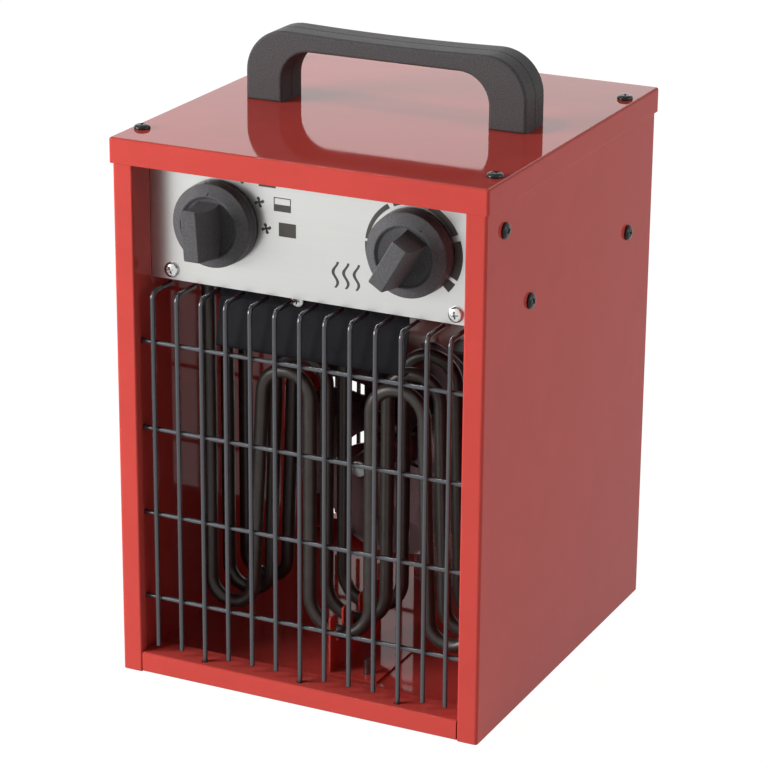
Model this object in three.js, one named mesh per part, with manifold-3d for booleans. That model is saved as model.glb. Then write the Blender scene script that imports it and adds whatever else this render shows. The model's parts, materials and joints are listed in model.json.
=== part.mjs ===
// Square sheet-metal fan heater with a moulded carrying handle, two control knobs, a wire
// front grille, three tubular heating elements and a shaded-pole fan motor behind them.
// Millimetres, +Z up, -Y is the front. The origin is on the floor, under the casing's middle.

import * as THREE from 'three';
import { mergeVertices } from 'three/addons/utils/BufferGeometryUtils.js';
import { ConvexGeometry } from 'three/addons/geometries/ConvexGeometry.js';
import Module from 'manifold-3d';

const wasm = await Module();
wasm.setup();

// ---------------------------------------------------------------- driving dimensions
const GAP = 0.3; // between pieces that only just meet
const RUN = 0.08; // radial running clearance between a shaft and its bearing
const SHEET = 1; // casing and tray sheet

const LID = { halfX: 100, halfY: 107.5, top: 284, skirt: 12.8, sheet: 0.9, bend: 1.2 };
const BODY = { halfX: 98.8, halfY: 106.3, bottom: 4, bend: 1.5, fold: 0.8 };
const BODY_TOP = LID.top - LID.sheet - GAP;
const FRONT = -BODY.halfY;
const FLANGE_INNER = 88; // half width of the front and rear openings
const RETURN_DEPTH = 17; // the front flange turns back into the casing this far
const REAR_RETURN = 8;
const BAR = { halfX: 87.6, height: 10.9, shelf: 16.6 };

const WIRE = { radius: 1.2, sides: 6, pitch: 13.45, halfCount: 6 };
const GRILLE = {
  y: FRONT + 5,
  crossY: FRONT + 6.8,
  foot: 18,
  longFoot: 10,
  top: 206.8,
  back: -82.6,
  bend: 3.6,
  crossHalfX: 93,
  longEvery: 4,
  lastShift: -1.4, // the wire at the right end is welded a little too near its neighbour
};
const CROSS_WIRES_Z = [44.3, 89.7, 135.1, 180.5];
const REAR_GUARD_Y = BODY.halfY - 4.6;

const PLATE = { y: -89, sheet: 0.8, halfX: 97.5, bottom: 210.5, top: 280.5 };
const PLATE_SCREW = { x: 76.4, z: 215.6 };
const LUG = { y: -78.2, bottom: 250, top: 268 };
const TRAY = { z: 211, halfX: 97.5, front: -87.9, back: 105, flangeTop: 226, lipTop: 223 };
const REAR_WALL_TOP = 281;

const KNOB_Z = 243.5;
const HEAT_KNOB_X = -50;
const THERMOSTAT_KNOB_X = 54;
const THERMOSTAT_REST_DEG = 32; // the pointer stands this far clockwise of straight up
const KNOB = { base: 21.3, rim: 21, rimZ: 10, dish: 15.5, dishFloor: 5.6 };
const GRIP = { height: 30, tailHeight: 26.8, pointer: 13.6, tail: 13, halfTop: 4.2, halfBase: 6.4 };
const SHAFT_RADIUS = 3;
const KNOB_SEAT_Y = PLATE.y - 0.8;

const ROW_Y = [FRONT + 49, FRONT + 68, FRONT + 87]; // front, middle and rear element
// Each element is bent by hand: the top bends differ in height, and the front one's left loop
// leans inward.
const ELEMENTS = [
  { row: 'front', y: ROW_Y[0], topZ: 160.3, leftX: 43 },
  { row: 'middle', y: ROW_Y[1], topZ: 162.5, leftX: 45.5 },
  { row: 'rear', y: ROW_Y[2], topZ: 166.5, leftX: 45.5 },
];
const TUBE_RADIUS = 3.5;
const TERMINAL_X = 74;

const AXIS_Z = 106; // fan and motor axis
const FAN = { y: FRONT + 112, hub: 14, blades: 5, sheet: 1.3 };
// Blade stations from root to tip: radius and half width in degrees. The blade's middle line
// turns by sweep degrees for each millimetre outward, and the blade twists like a screw.
const BLADE = {
  stations: [[10, 18], [20, 26], [33, 31], [46, 30.5], [57, 25], [62, 12]],
  sweep: 1.33,
  twist: -6.5, // millimetres of rise for each radian round the axis
  phaseDeg: 18.5, // direction of the first blade's middle line at radius 33
  phaseRadius: 33,
};
const NOSE_Y = FRONT + 68; // tip of the fan nut, between the two rear elements
const MOTOR = { front: 30, back: 50, halfX: 30, bottom: 84, top: 152, bore: 13.5 };
const SHAFT = { radius: 2.5, sides: 12 };

const HANDLE = {
  halfX: 76.5,
  top: 321.5,
  dip: 2.4, // the top of the bar sags by this much in the middle
  dipRadius: 1400,
  leg: 20,
  bar: 10.3,
  outer: 22,
  inner: 16,
  halfY: 11.5,
};
const HANDLE_SCREW = { x: 66.5, y: 5.8 };

const LID_SCREWS = [[-93.5, -86], [93.5, -86], [-93.5, 76], [93.5, 76]];
const SIDE_SCREWS = [[-86, 259], [-53.9, 215.6], [71.7, 215.6]];
const FEET = [[-80, -87], [80, -87], [-80, 87], [80, 87]];
const COMB_SCREW = { x: 17.3, y: -60 };
const BAFFLE = { left: -54.5, right: 48, low: 178.4, bend: 203, top: TRAY.z - 0.4 };
const BAFFLE_SCREW = { x: -11.5, z: 207 };
const GLAND = { x: 60, z: 246, reach: 119.8, bore: 3.8 };

// ---------------------------------------------------------------- materials
const finish = (color, roughness, metalness) =>
  new THREE.MeshStandardMaterial({ color, roughness, metalness });
const RED_PAINT = finish(0xb4201c, 0.22, 0.0);
const BLACK_PLASTIC = finish(0x2c2c2f, 0.6, 0.0);
const STAINLESS = finish(0xd2d2cd, 0.32, 1.0);
const BLACK_PAINT = finish(0x15161a, 0.25, 0.0);
const COATED_WIRE = finish(0x55585c, 0.45, 0.0);
const ELEMENT_SHEATH = finish(0x3a3733, 0.5, 0.9);
const ZINC = finish(0xc4c4c0, 0.3, 1.0);
const CHROME = finish(0xe0e0e0, 0.1, 1.0);
const BLACK_SCREW = finish(0x141414, 0.3, 0.7);
const ALUMINIUM = finish(0xb9bbbd, 0.25, 1.0);
const LAMINATION = finish(0x5b5f66, 0.5, 0.8);
const WHITE_NYLON = finish(0xd8d6cc, 0.5, 0.0);
const COPPER = finish(0xb06a3c, 0.3, 1.0);
const RUBBER = finish(0x1a1a1a, 0.9, 0.0);

// ---------------------------------------------------------------- solid helpers
function toSolid(geometry) {
  const bare = geometry.clone();
  for (const name of Object.keys(bare.attributes)) {
    if (name !== 'position') bare.deleteAttribute(name);
  }
  const merged = mergeVertices(bare, 1e-4);
  return new wasm.Manifold(
    new wasm.Mesh({
      numProp: 3,
      vertProperties: new Float32Array(merged.attributes.position.array),
      triVerts: new Uint32Array(merged.index.array),
    }),
  );
}

function toGeometry(solid) {
  const mesh = solid.getMesh();
  const geometry = new THREE.BufferGeometry();
  geometry.setAttribute('position', new THREE.BufferAttribute(mesh.vertProperties, 3));
  geometry.setIndex(new THREE.BufferAttribute(mesh.triVerts, 1));
  return geometry;
}

const join = (solids) => solids.reduce((whole, solid) => whole.add(solid));
const cut = (solid, tools) => (tools.length ? solid.subtract(join(tools)) : solid);

function box(x0, x1, y0, y1, z0, z1) {
  const geometry = new THREE.BoxGeometry(x1 - x0, y1 - y0, z1 - z0);
  return toSolid(geometry.translate((x0 + x1) / 2, (y0 + y1) / 2, (z0 + z1) / 2));
}

// A round (or many-sided) bar from one point to another.
function bar(from, to, radius, sides = 12, endRadius = radius) {
  const start = new THREE.Vector3(...from);
  const run = new THREE.Vector3(...to).sub(start);
  const geometry = new THREE.CylinderGeometry(endRadius, radius, run.length(), sides);
  const turn = new THREE.Quaternion().setFromUnitVectors(
    new THREE.Vector3(0, 1, 0),
    run.clone().normalize(),
  );
  const middle = start.addScaledVector(run, 0.5);
  geometry.applyQuaternion(turn).translate(middle.x, middle.y, middle.z);
  return toSolid(geometry);
}

// An outline whose corners [u, v, radius] are rounded where a radius is given.
function outline(corners) {
  const shape = new THREE.Shape();
  corners.forEach(([u, v, radius = 0], i) => {
    const here = new THREE.Vector2(u, v);
    const toLast = new THREE.Vector2(...corners.at(i - 1).slice(0, 2)).sub(here).normalize();
    const next = corners[(i + 1) % corners.length];
    const toNext = new THREE.Vector2(...next.slice(0, 2)).sub(here).normalize();
    if (!radius) {
      if (i) shape.lineTo(u, v);
      else shape.moveTo(u, v);
      return;
    }
    const half = Math.acos(THREE.MathUtils.clamp(toLast.dot(toNext), -1, 1)) / 2;
    const middle = toLast.clone().add(toNext).normalize().multiplyScalar(radius / Math.sin(half));
    const centre = here.clone().add(middle);
    const reach = radius / Math.tan(half);
    const start = here.clone().addScaledVector(toLast, reach);
    const end = here.clone().addScaledVector(toNext, reach);
    if (i) shape.lineTo(start.x, start.y);
    else shape.moveTo(start.x, start.y);
    const from = Math.atan2(start.y - centre.y, start.x - centre.x);
    const to = Math.atan2(end.y - centre.y, end.x - centre.x);
    shape.absarc(centre.x, centre.y, radius, from, to, toLast.cross(toNext) > 0);
  });
  return shape;
}

// A hole that a many-sided shaft turns in: its flats clear the shaft's corners.
const runningRadius = (radius, sides) => (radius + RUN) / Math.cos(Math.PI / sides);

// The three ways to extrude an outline: drawn on XY and raised along Z, drawn on YZ and
// drawn out along X, or drawn on XZ and drawn out along Y.
const PLANES = {
  XY: { u: [1, 0, 0], v: [0, 1, 0], out: [0, 0, 1] },
  YZ: { u: [0, 1, 0], v: [0, 0, 1], out: [1, 0, 0] },
  XZ: { u: [1, 0, 0], v: [0, 0, 1], out: [0, -1, 0] },
};

function extrude(shape, plane, from, to, { arcSteps = 2, bevel = 0 } = {}) {
  const geometry = new THREE.ExtrudeGeometry(shape, {
    depth: to - from - 2 * bevel,
    curveSegments: arcSteps,
    bevelEnabled: bevel > 0,
    bevelSize: bevel,
    bevelOffset: -bevel,
    bevelThickness: bevel,
    bevelSegments: 2,
  });
  const { u, v, out } = PLANES[plane];
  const axes = [u, v, out].map((axis) => new THREE.Vector3(...axis));
  const start = axes[2].clone().multiplyScalar(plane === 'XZ' ? -to : from);
  geometry.translate(0, 0, bevel);
  geometry.applyMatrix4(new THREE.Matrix4().makeBasis(...axes).setPosition(start));
  return toSolid(geometry);
}

// A path through corners [x, y, z, radius], each bend rounded in a few steps.
class Route extends THREE.Curve {
  constructor(corners, bendSteps = 4) {
    super();
    this.points = [];
    corners.forEach(([x, y, z, radius = 0], i) => {
      const here = new THREE.Vector3(x, y, z);
      if (!radius) {
        this.points.push(here);
        return;
      }
      const back = new THREE.Vector3(...corners[i - 1].slice(0, 3)).sub(here).normalize();
      const onward = new THREE.Vector3(...corners[i + 1].slice(0, 3)).sub(here).normalize();
      const half = back.angleTo(onward) / 2;
      const middle = back.clone().add(onward).normalize();
      const centre = here.clone().addScaledVector(middle, radius / Math.sin(half));
      const start = here.clone().addScaledVector(back, radius / Math.tan(half)).sub(centre);
      const turn = Math.PI - 2 * half;
      const axis = back.clone().cross(onward).normalize();
      for (let k = 0; k <= bendSteps; k += 1) {
        const arm = start.clone().applyAxisAngle(axis, (-turn * k) / bendSteps);
        this.points.push(arm.add(centre));
      }
    });
  }

  getUtoTmapping(u) {
    return u;
  }

  getPoint(t, target = new THREE.Vector3()) {
    const along = t * (this.points.length - 1);
    const i = Math.min(Math.floor(along), this.points.length - 2);
    return target.lerpVectors(this.points[i], this.points[i + 1], along - i);
  }

  getTangent(t, target = new THREE.Vector3()) {
    const i = Math.round(t * (this.points.length - 1));
    const last = this.points[Math.max(i - 1, 0)];
    const next = this.points[Math.min(i + 1, this.points.length - 1)];
    return target.subVectors(next, last).normalize();
  }
}

function tube(route, radius, sides) {
  const section = new THREE.Shape();
  for (let k = 0; k < sides; k += 1) {
    const angle = (2 * Math.PI * (k + 0.5)) / sides;
    const point = [radius * Math.cos(angle), radius * Math.sin(angle)];
    if (k) section.lineTo(...point);
    else section.moveTo(...point);
  }
  const steps = route.points.length - 1;
  return toSolid(new THREE.ExtrudeGeometry(section, { steps, extrudePath: route }));
}

function lathe(profile, segments) {
  const points = profile.map(([radius, height]) => new THREE.Vector2(radius, height));
  const geometry = new THREE.LatheGeometry(points, segments);
  return toSolid(geometry.rotateX(Math.PI / 2)); // its axis becomes +Z
}

const model = new THREE.Group();

function addMesh(name, solid, material, place = {}) {
  const mesh = new THREE.Mesh(toGeometry(solid), material);
  mesh.name = name;
  if (place.position) mesh.position.set(...place.position);
  if (place.rotation) mesh.rotation.set(...place.rotation);
  if (place.spin) mesh.rotateZ(place.spin); // about its own +Z
  model.add(mesh);
  return mesh;
}

const TO_FRONT = [Math.PI / 2, 0, 0]; // turns a piece's own +Z to the front, -Y
const TO_RIGHT = [0, Math.PI / 2, 0];
const TO_LEFT = [0, -Math.PI / 2, 0];
const DOWN = [Math.PI, 0, 0];

// ---------------------------------------------------------------- sheet-metal casing
// One wrapped sheet: floor and both sides, with folded flanges at the front and rear.
function sideSheet(sign) {
  const x = (value) => sign * value;
  const inner = FLANGE_INNER;
  const back = BODY.halfY;
  const corners = [
    [x(inner), FRONT + RETURN_DEPTH],
    [x(inner), FRONT, BODY.fold],
    [x(BODY.halfX), FRONT, BODY.bend],
    [x(BODY.halfX), back, BODY.bend],
    [x(inner), back, BODY.fold],
    [x(inner), back - REAR_RETURN],
    [x(inner + SHEET), back - REAR_RETURN],
    [x(inner + SHEET), back - SHEET],
    [x(BODY.halfX - SHEET), back - SHEET],
    [x(BODY.halfX - SHEET), FRONT + SHEET],
    [x(inner + SHEET), FRONT + SHEET],
    [x(inner + SHEET), FRONT + RETURN_DEPTH],
  ];
  return extrude(outline(corners), 'XY', BODY.bottom, BODY_TOP, { arcSteps: 1 });
}

function floorSheet() {
  const low = BODY.bottom;
  const high = low + BAR.height;
  const back = BODY.halfY;
  const profile = outline([
    [FRONT + BAR.shelf, high],
    [FRONT, high, BODY.fold],
    [FRONT, low, BODY.bend],
    [back, low, BODY.bend],
    [back, high, BODY.fold],
    [back - REAR_RETURN, high],
    [back - REAR_RETURN, high - SHEET],
    [back - SHEET, high - SHEET],
    [back - SHEET, low + SHEET],
    [FRONT + SHEET, low + SHEET],
    [FRONT + SHEET, high - SHEET],
    [FRONT + BAR.shelf, high - SHEET],
  ]);
  return extrude(profile, 'YZ', -BAR.halfX, BAR.halfX, { arcSteps: 1 });
}

const isLongWire = (k) => k % GRILLE.longEvery === 0;

function casing() {
  const parts = [sideSheet(1), sideSheet(-1), floorSheet()];
  const inset = BODY.bend + GAP;
  for (const sign of [-1, 1]) {
    const [near, far] = [sign * (BAR.halfX - 1), sign * (BODY.halfX - SHEET / 2)];
    const xs = [Math.min(near, far), Math.max(near, far)];
    const low = BODY.bottom;
    parts.push(box(...xs, FRONT + inset, BODY.halfY - inset, low, low + SHEET));
    parts.push(box(...xs, FRONT + inset, BODY.halfY - inset, BODY_TOP - SHEET, BODY_TOP));
  }
  const clear = FLANGE_INNER + SHEET + GAP;
  const holes = [];
  holes.push(box(-clear, clear, 90, BODY.halfY - SHEET, TRAY.z - 2, BODY_TOP - SHEET));
  for (const z of CROSS_WIRES_Z) {
    holes.push(bar([-92, GRILLE.crossY, z], [-86, GRILLE.crossY, z], 1.7, 8));
    holes.push(bar([86, GRILLE.crossY, z], [92, GRILLE.crossY, z], 1.7, 8));
    holes.push(bar([-92, REAR_GUARD_Y, z], [-86, REAR_GUARD_Y, z], 1.7, 8));
    holes.push(bar([86, REAR_GUARD_Y, z], [92, REAR_GUARD_Y, z], 1.7, 8));
  }
  const shelfTop = BODY.bottom + BAR.height;
  for (let k = -WIRE.halfCount; k <= WIRE.halfCount; k += 1) {
    const x = k * WIRE.pitch;
    if (isLongWire(k)) holes.push(bar([x, GRILLE.y, 13], [x, GRILLE.y, shelfTop + 1], 2, 8));
  }
  for (const [y, z] of SIDE_SCREWS) {
    holes.push(bar([-101, y, z], [-96, y, z], 2.1, 8), bar([96, y, z], [101, y, z], 2.1, 8));
  }
  for (const [x, y] of LID_SCREWS) holes.push(bar([x, y, 279], [x, y, 286], 2.1, 8));
  for (const [x, y] of FEET) holes.push(bar([x, y, 2], [x, y, 7], 2.4, 8));
  const { x, y } = COMB_SCREW;
  holes.push(bar([x, y, 2], [x, y, 7], 2.1, 8));
  return cut(join(parts), holes);
}

function lid() {
  const { halfX, halfY, top, skirt, sheet, bend } = LID;
  const footprint = outline([
    [-halfX, -halfY, 1], [halfX, -halfY, 1], [halfX, halfY, 1], [-halfX, halfY, 1],
  ]);
  const block = extrude(footprint, 'XY', top - 2 * skirt, top, { arcSteps: 1, bevel: bend });
  const low = top - skirt;
  const inside = box(sheet - halfX, halfX - sheet, sheet - halfY, halfY - sheet, 240, top - sheet);
  const tools = [box(-120, 120, -120, 120, 240, low), inside];
  for (const [x, y] of LID_SCREWS) tools.push(bar([x, y, 279], [x, y, 286], 2.1, 8));
  for (const sign of [-1, 1]) {
    const at = [sign * HANDLE_SCREW.x, HANDLE_SCREW.y];
    tools.push(bar([...at, 279], [...at, 286], 2.3, 8));
  }
  return cut(block, tools);
}

// Floor of the control box, with folded sides, a front lip and the upper rear wall.
function controlTray() {
  const { z, halfX, front, back, flangeTop, lipTop } = TRAY;
  const solid = join([
    box(-halfX, halfX, front, back, z, z + SHEET),
    box(-halfX, SHEET - halfX, front, back, z, flangeTop),
    box(halfX - SHEET, halfX, front, back, z, flangeTop),
    box(-halfX, halfX, front, front + SHEET, z, lipTop),
    box(-halfX, halfX, back - SHEET, back, z, REAR_WALL_TOP),
    box(BAFFLE_SCREW.x - 9, BAFFLE_SCREW.x + 9, -78.6, -77.6, 200, z + SHEET),
  ]);
  const tools = [];
  for (const y of ROW_Y) {
    for (const sign of [-1, 1]) {
      tools.push(bar([sign * TERMINAL_X, y, 200], [sign * TERMINAL_X, y, 215], 5.4, 8));
    }
  }
  for (const [y, height] of SIDE_SCREWS.slice(1)) {
    tools.push(bar([-101, y, height], [-90, y, height], 2.1, 8));
    tools.push(bar([90, y, height], [101, y, height], 2.1, 8));
  }
  for (const sign of [-1, 1]) {
    const x = sign * PLATE_SCREW.x;
    tools.push(bar([x, -90, PLATE_SCREW.z], [x, -80, PLATE_SCREW.z], 2, 8));
  }
  tools.push(bar([54, -5, 200], [54, -5, 215], 3, 8));
  tools.push(bar([-30, 40, 200], [-30, 40, 215], 5, 8));
  const { x, z: screwZ } = BAFFLE_SCREW;
  tools.push(bar([x, -80, screwZ], [x, -75, screwZ], 1.9, 8));
  tools.push(bar([GLAND.x, 100, GLAND.z], [GLAND.x, 110, GLAND.z], 8.3, 12));
  return cut(solid, tools);
}

function controlPlate() {
  const { y, sheet, halfX, bottom, top } = PLATE;
  const back = y + sheet;
  const solid = join([
    box(-halfX, halfX, y, back, bottom, top),
    box(-halfX, sheet - halfX, y, LUG.y, LUG.bottom, LUG.top),
    box(halfX - sheet, halfX, y, LUG.y, LUG.bottom, LUG.top),
  ]);
  const [[screwY, screwZ]] = SIDE_SCREWS;
  const tools = [
    bar([-101, screwY, screwZ], [-90, screwY, screwZ], 1.9, 8),
    bar([90, screwY, screwZ], [101, screwY, screwZ], 1.9, 8),
  ];
  for (const x of [HEAT_KNOB_X, THERMOSTAT_KNOB_X]) {
    tools.push(bar([x, y - 2, KNOB_Z], [x, y + 3, KNOB_Z], 5, 12));
  }
  for (const x of [-PLATE_SCREW.x, PLATE_SCREW.x]) {
    tools.push(bar([x, y - 2, PLATE_SCREW.z], [x, y + 3, PLATE_SCREW.z], 2, 8));
  }
  return cut(solid, tools);
}

// Black deflector that leans forward under the control box and keeps the heat off it.
function heatBaffle() {
  const { left, right, low, bend, top } = BAFFLE;
  const sheet = 0.8;
  const profile = outline([
    [-79.4, top], [-80.2, top], [-80.2, bend], [-85.7, low],
    [-79.7, low], [-79.7, low + sheet], [-84.7, low + sheet], [-79.4, bend],
  ]);
  const { x, z } = BAFFLE_SCREW;
  return cut(extrude(profile, 'YZ', left, right), [bar([x, -84, z], [x, -76, z], 1.9, 8)]);
}

// ---------------------------------------------------------------- wire grilles
function crossWires(y) {
  const reach = GRILLE.crossHalfX;
  const { radius, sides } = WIRE;
  return CROSS_WIRES_Z.map((z) => bar([-reach, y, z], [reach, y, z], radius, sides));
}

function frontGrille() {
  const wires = crossWires(GRILLE.crossY);
  for (let k = -WIRE.halfCount; k <= WIRE.halfCount; k += 1) {
    const x = k * WIRE.pitch + (k === WIRE.halfCount ? GRILLE.lastShift : 0);
    const foot = isLongWire(k) ? GRILLE.longFoot : GRILLE.foot;
    const { y, top, bend, back } = GRILLE;
    const route = new Route([[x, y, foot], [x, y, top, bend], [x, back, top]], 3);
    wires.push(tube(route, WIRE.radius, WIRE.sides));
  }
  return join(wires);
}

function rearGuard() {
  const y = REAR_GUARD_Y;
  const wires = crossWires(y);
  for (let k = -WIRE.halfCount; k <= WIRE.halfCount; k += 1) {
    const x = k * WIRE.pitch;
    wires.push(bar([x, y - 1.8, 18], [x, y - 1.8, 205], WIRE.radius, WIRE.sides));
  }
  return join(wires);
}

// ---------------------------------------------------------------- carrying handle
function handleHalf(isRear) {
  const { halfX, top, dip, dipRadius, leg, bar: thickness, outer, inner, halfY } = HANDLE;
  const under = top - thickness;
  const foot = LID.top;
  const arch = outline([
    [-halfX, foot - 4], [halfX, foot - 4],
    [halfX, top, outer], [0, top - dip, dipRadius], [-halfX, top, outer],
  ]);
  const hole = outline([
    [leg - halfX, foot - 6], [halfX - leg, foot - 6],
    [halfX - leg, under, inner], [leg - halfX, under, inner],
  ]);
  const bevel = 1.4;
  const solid = extrude(arch, 'XZ', -halfY, halfY, { arcSteps: 4, bevel });
  const tools = [extrude(hole, 'XZ', -halfY - 1, halfY + 1, { arcSteps: 4 })];
  tools.push(box(-90, 90, -20, 20, foot - 10, foot));
  const seam = GAP / 2;
  tools.push(isRear ? box(-90, 90, -20, seam, 270, 330) : box(-90, 90, -seam, 20, 270, 330));
  if (isRear) {
    for (const sign of [-1, 1]) {
      const at = [sign * HANDLE_SCREW.x, HANDLE_SCREW.y];
      tools.push(bar([...at, 280], [...at, 297], 2.2, 8));
    }
  }
  return cut(solid, tools);
}

// ---------------------------------------------------------------- screws, nuts and feet
// Cross-recessed pan head; its own +Z points out of the head and the seat is at zero.
function panScrew(headRadius, headHeight, shankRadius, length) {
  const head = lathe(
    [[0, 0], [headRadius, 0], [headRadius, headHeight * 0.45], [headRadius * 0.7, headHeight * 0.9],
      [0, headHeight]],
    8,
  );
  const shank = bar([0, 0, 0.01], [0, 0, -length], shankRadius, 6);
  const slot = headRadius * 0.55;
  const wide = headRadius * 0.14;
  const floor = headHeight * 0.4;
  return cut(join([head, shank]), [
    box(-slot, slot, -wide, wide, floor, headHeight + 1),
    box(-wide, wide, -slot, slot, floor, headHeight + 1),
  ]);
}

const CASE_SCREW = [4, 2.4, 1.9];
const SMALL_SCREW = [3.9, 2.3, 1.6];

function addScrews() {
  LID_SCREWS.forEach(([x, y], i) => {
    const place = { position: [x, y, LID.top] };
    addMesh(`lid_screw_${i + 1}`, panScrew(...CASE_SCREW, 9), BLACK_SCREW, place);
  });
  SIDE_SCREWS.forEach(([y, z], i) => {
    const reach = BODY.halfX;
    const right = { position: [reach, y, z], rotation: TO_RIGHT };
    const left = { position: [-reach, y, z], rotation: TO_LEFT };
    const shank = i ? 1.9 : 1.6;
    const make = () => panScrew(CASE_SCREW[0], CASE_SCREW[1], shank, 8);
    addMesh(`side_screw_right_${i + 1}`, make(), BLACK_SCREW, right);
    addMesh(`side_screw_left_${i + 1}`, make(), BLACK_SCREW, left);
  });
  for (const [side, sign] of [['left', -1], ['right', 1]]) {
    const front = { position: [sign * PLATE_SCREW.x, PLATE.y, PLATE_SCREW.z], rotation: TO_FRONT };
    addMesh(`plate_screw_${side}`, panScrew(...SMALL_SCREW, 8), CHROME, front);
    const under = LID.top - LID.sheet;
    const below = { position: [sign * HANDLE_SCREW.x, HANDLE_SCREW.y, under], rotation: DOWN };
    addMesh(`handle_screw_${side}`, panScrew(...CASE_SCREW, 12), ZINC, below);
  }
  const baffle = { position: [BAFFLE_SCREW.x, -80.2, BAFFLE_SCREW.z], rotation: TO_FRONT };
  addMesh('baffle_screw', panScrew(3.5, 2.2, 1.6, 8), ZINC, baffle);
  const comb = { position: [COMB_SCREW.x, COMB_SCREW.y, BODY.bottom], rotation: DOWN };
  addMesh('comb_screw', panScrew(3.8, 2.2, 1.8, 10.5), ZINC, comb);
}

function foot() {
  const low = BODY.bottom;
  const profile = [
    [0, 0], [6.4, 0], [7, 1], [7, low], [2.1, low], [2.1, low + 1.3], [3.1, low + 1.3],
    [0, low + 3],
  ];
  return lathe(profile, 10);
}

// ---------------------------------------------------------------- knobs and controls
// Drawn with its own +Z to the front and its pointer towards +Y.
function knobGrip() {
  const { height, tailHeight, pointer, tail, halfTop, halfBase } = GRIP;
  const low = KNOB.dishFloor - 1;
  const corners = [];
  for (const side of [-1, 1]) {
    corners.push(new THREE.Vector3(side * halfTop, pointer, height));
    corners.push(new THREE.Vector3(side * halfTop, -tail, tailHeight));
    corners.push(new THREE.Vector3(side * halfBase, pointer - 0.4, low));
    corners.push(new THREE.Vector3(side * halfBase, -tail - 2.4, low));
  }
  const reach = 32; // a slight hollow down the pointer end
  const scoop = bar([-12, pointer - 2.6 + reach, 18], [12, pointer - 2.6 + reach, 18], reach, 48);
  return cut(toSolid(new ConvexGeometry(corners)), [scoop]);
}

function knob() {
  const { base, rim, rimZ, dish, dishFloor } = KNOB;
  const shell = lathe(
    [
      [0, 0.4], [6, 0.4], [6, dishFloor - 2], [dish - 1.4, dishFloor - 2], [dish + 1, rimZ - 2.2],
      [base - 2.2, rimZ - 2.2], [base - 2, 0], [base, 0], [rim, rimZ - 1.2], [rim - 1.2, rimZ],
      [dish, rimZ + 0.3], [dish - 2.3, dishFloor], [0, dishFloor],
    ],
    28,
  );
  const bore = bar([0, 0, -1], [0, 0, 13.6], SHAFT_RADIUS + GAP, 12);
  return cut(shell.add(knobGrip()), [bore]);
}

function controlShaft() {
  const flat = box(-4, 4, SHAFT_RADIUS - 1, 5, 3, 20);
  return cut(bar([0, 0, -9], [0, 0, 13], SHAFT_RADIUS, 12), [flat]);
}

// Both control bodies are drawn with their own +Z to the front and the plate at zero.
function boredControl(parts) {
  const bushing = bar([0, 0, -2], [0, 0, 0.6], 4.6, 12);
  const bore = bar([0, 0, -10.6], [0, 0, 2], runningRadius(SHAFT_RADIUS, 12), 12);
  return cut(join([...parts, bushing]), [bore]);
}

function heatSwitchBody() {
  const back = PLATE.sheet + GAP;
  const parts = [box(-16, 16, -16, 16, -26, -back)];
  for (const x of [-12, -4, 4, 12]) parts.push(box(x - 0.4, x + 0.4, -14, -8, -33, -25));
  return boredControl(parts);
}

function thermostatBody() {
  const back = PLATE.sheet + GAP;
  const parts = [
    box(-18, 18, -14, 14, -12, -back),
    bar([0, 0, -20], [0, 0, -11], 15, 16),
    box(-16, -10, -0.4, 0.4, -26, -11),
    box(10, 16, -0.4, 0.4, -26, -11),
  ];
  return boredControl(parts);
}

function addControls() {
  const knobs = [
    ['heat', HEAT_KNOB_X, 0, heatSwitchBody(), 'heat_switch'],
    ['thermostat', THERMOSTAT_KNOB_X, THERMOSTAT_REST_DEG, thermostatBody(), 'thermostat'],
  ];
  for (const [name, x, restDeg, body, control] of knobs) {
    const turn = -THREE.MathUtils.degToRad(restDeg);
    const seat = { position: [x, KNOB_SEAT_Y, KNOB_Z], rotation: TO_FRONT, spin: turn };
    addMesh(`${name}_knob`, knob(), BLACK_PLASTIC, seat);
    addMesh(`${control}_shaft`, controlShaft(), ZINC, seat);
    const plate = { position: [x, PLATE.y, KNOB_Z], rotation: TO_FRONT };
    addMesh(`${control}_body`, body, WHITE_NYLON, plate);
  }
}

// Liquid-filled bulb in the air duct, and the capillary that joins it to the thermostat.
function thermostatBulb() {
  const x = THERMOSTAT_KNOB_X;
  const start = PLATE.y + 20 + GAP;
  const route = new Route(
    [[x, start, KNOB_Z], [x, -5, KNOB_Z, 6], [x, -5, 201, 6], [x, 14, 201]],
    4,
  );
  return join([tube(route, 1, 6), bar([x, 12, 201], [x, 62, 201], 3, 8)]);
}

function thermalCutout() {
  const under = TRAY.z - GAP;
  return join([
    bar([25, -38, under], [25, -38, under - 9], 8, 12),
    box(13, 37, -42, -34, under - 1.2, under),
  ]);
}

function terminalBlock() {
  const low = TRAY.z + SHEET;
  const block = box(-24, 24, 58, 78, low, low + 16);
  const wells = [-15, -5, 5, 15].flatMap((x) => [
    bar([x, 63, low + 8], [x, 63, low + 20], 2.4, 8),
    bar([x, 73, low + 8], [x, 73, low + 20], 2.4, 8),
  ]);
  return cut(block, wells);
}

function cableGland() {
  const wall = TRAY.back;
  const { x, z, reach } = GLAND;
  const at = (y) => [x, y, z];
  const solid = join([
    bar(at(wall + 0.01), at(wall + 5), 11, 6),
    bar(at(wall + 4.9), at(reach), 9.4, 12, 6.4),
    bar(at(wall - 11), at(wall + 1), 7.9, 12),
  ]);
  return cut(solid, [bar(at(80), at(140), GLAND.bore, 24)]);
}

function glandNut() {
  const wall = TRAY.back - SHEET;
  const { x, z } = GLAND;
  const ring = bar([x, wall - 5, z], [x, wall, z], 11.5, 6);
  return cut(ring, [bar([x, wall - 9, z], [x, wall + 4, z], 7.9 + GAP, 12)]);
}

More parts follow.
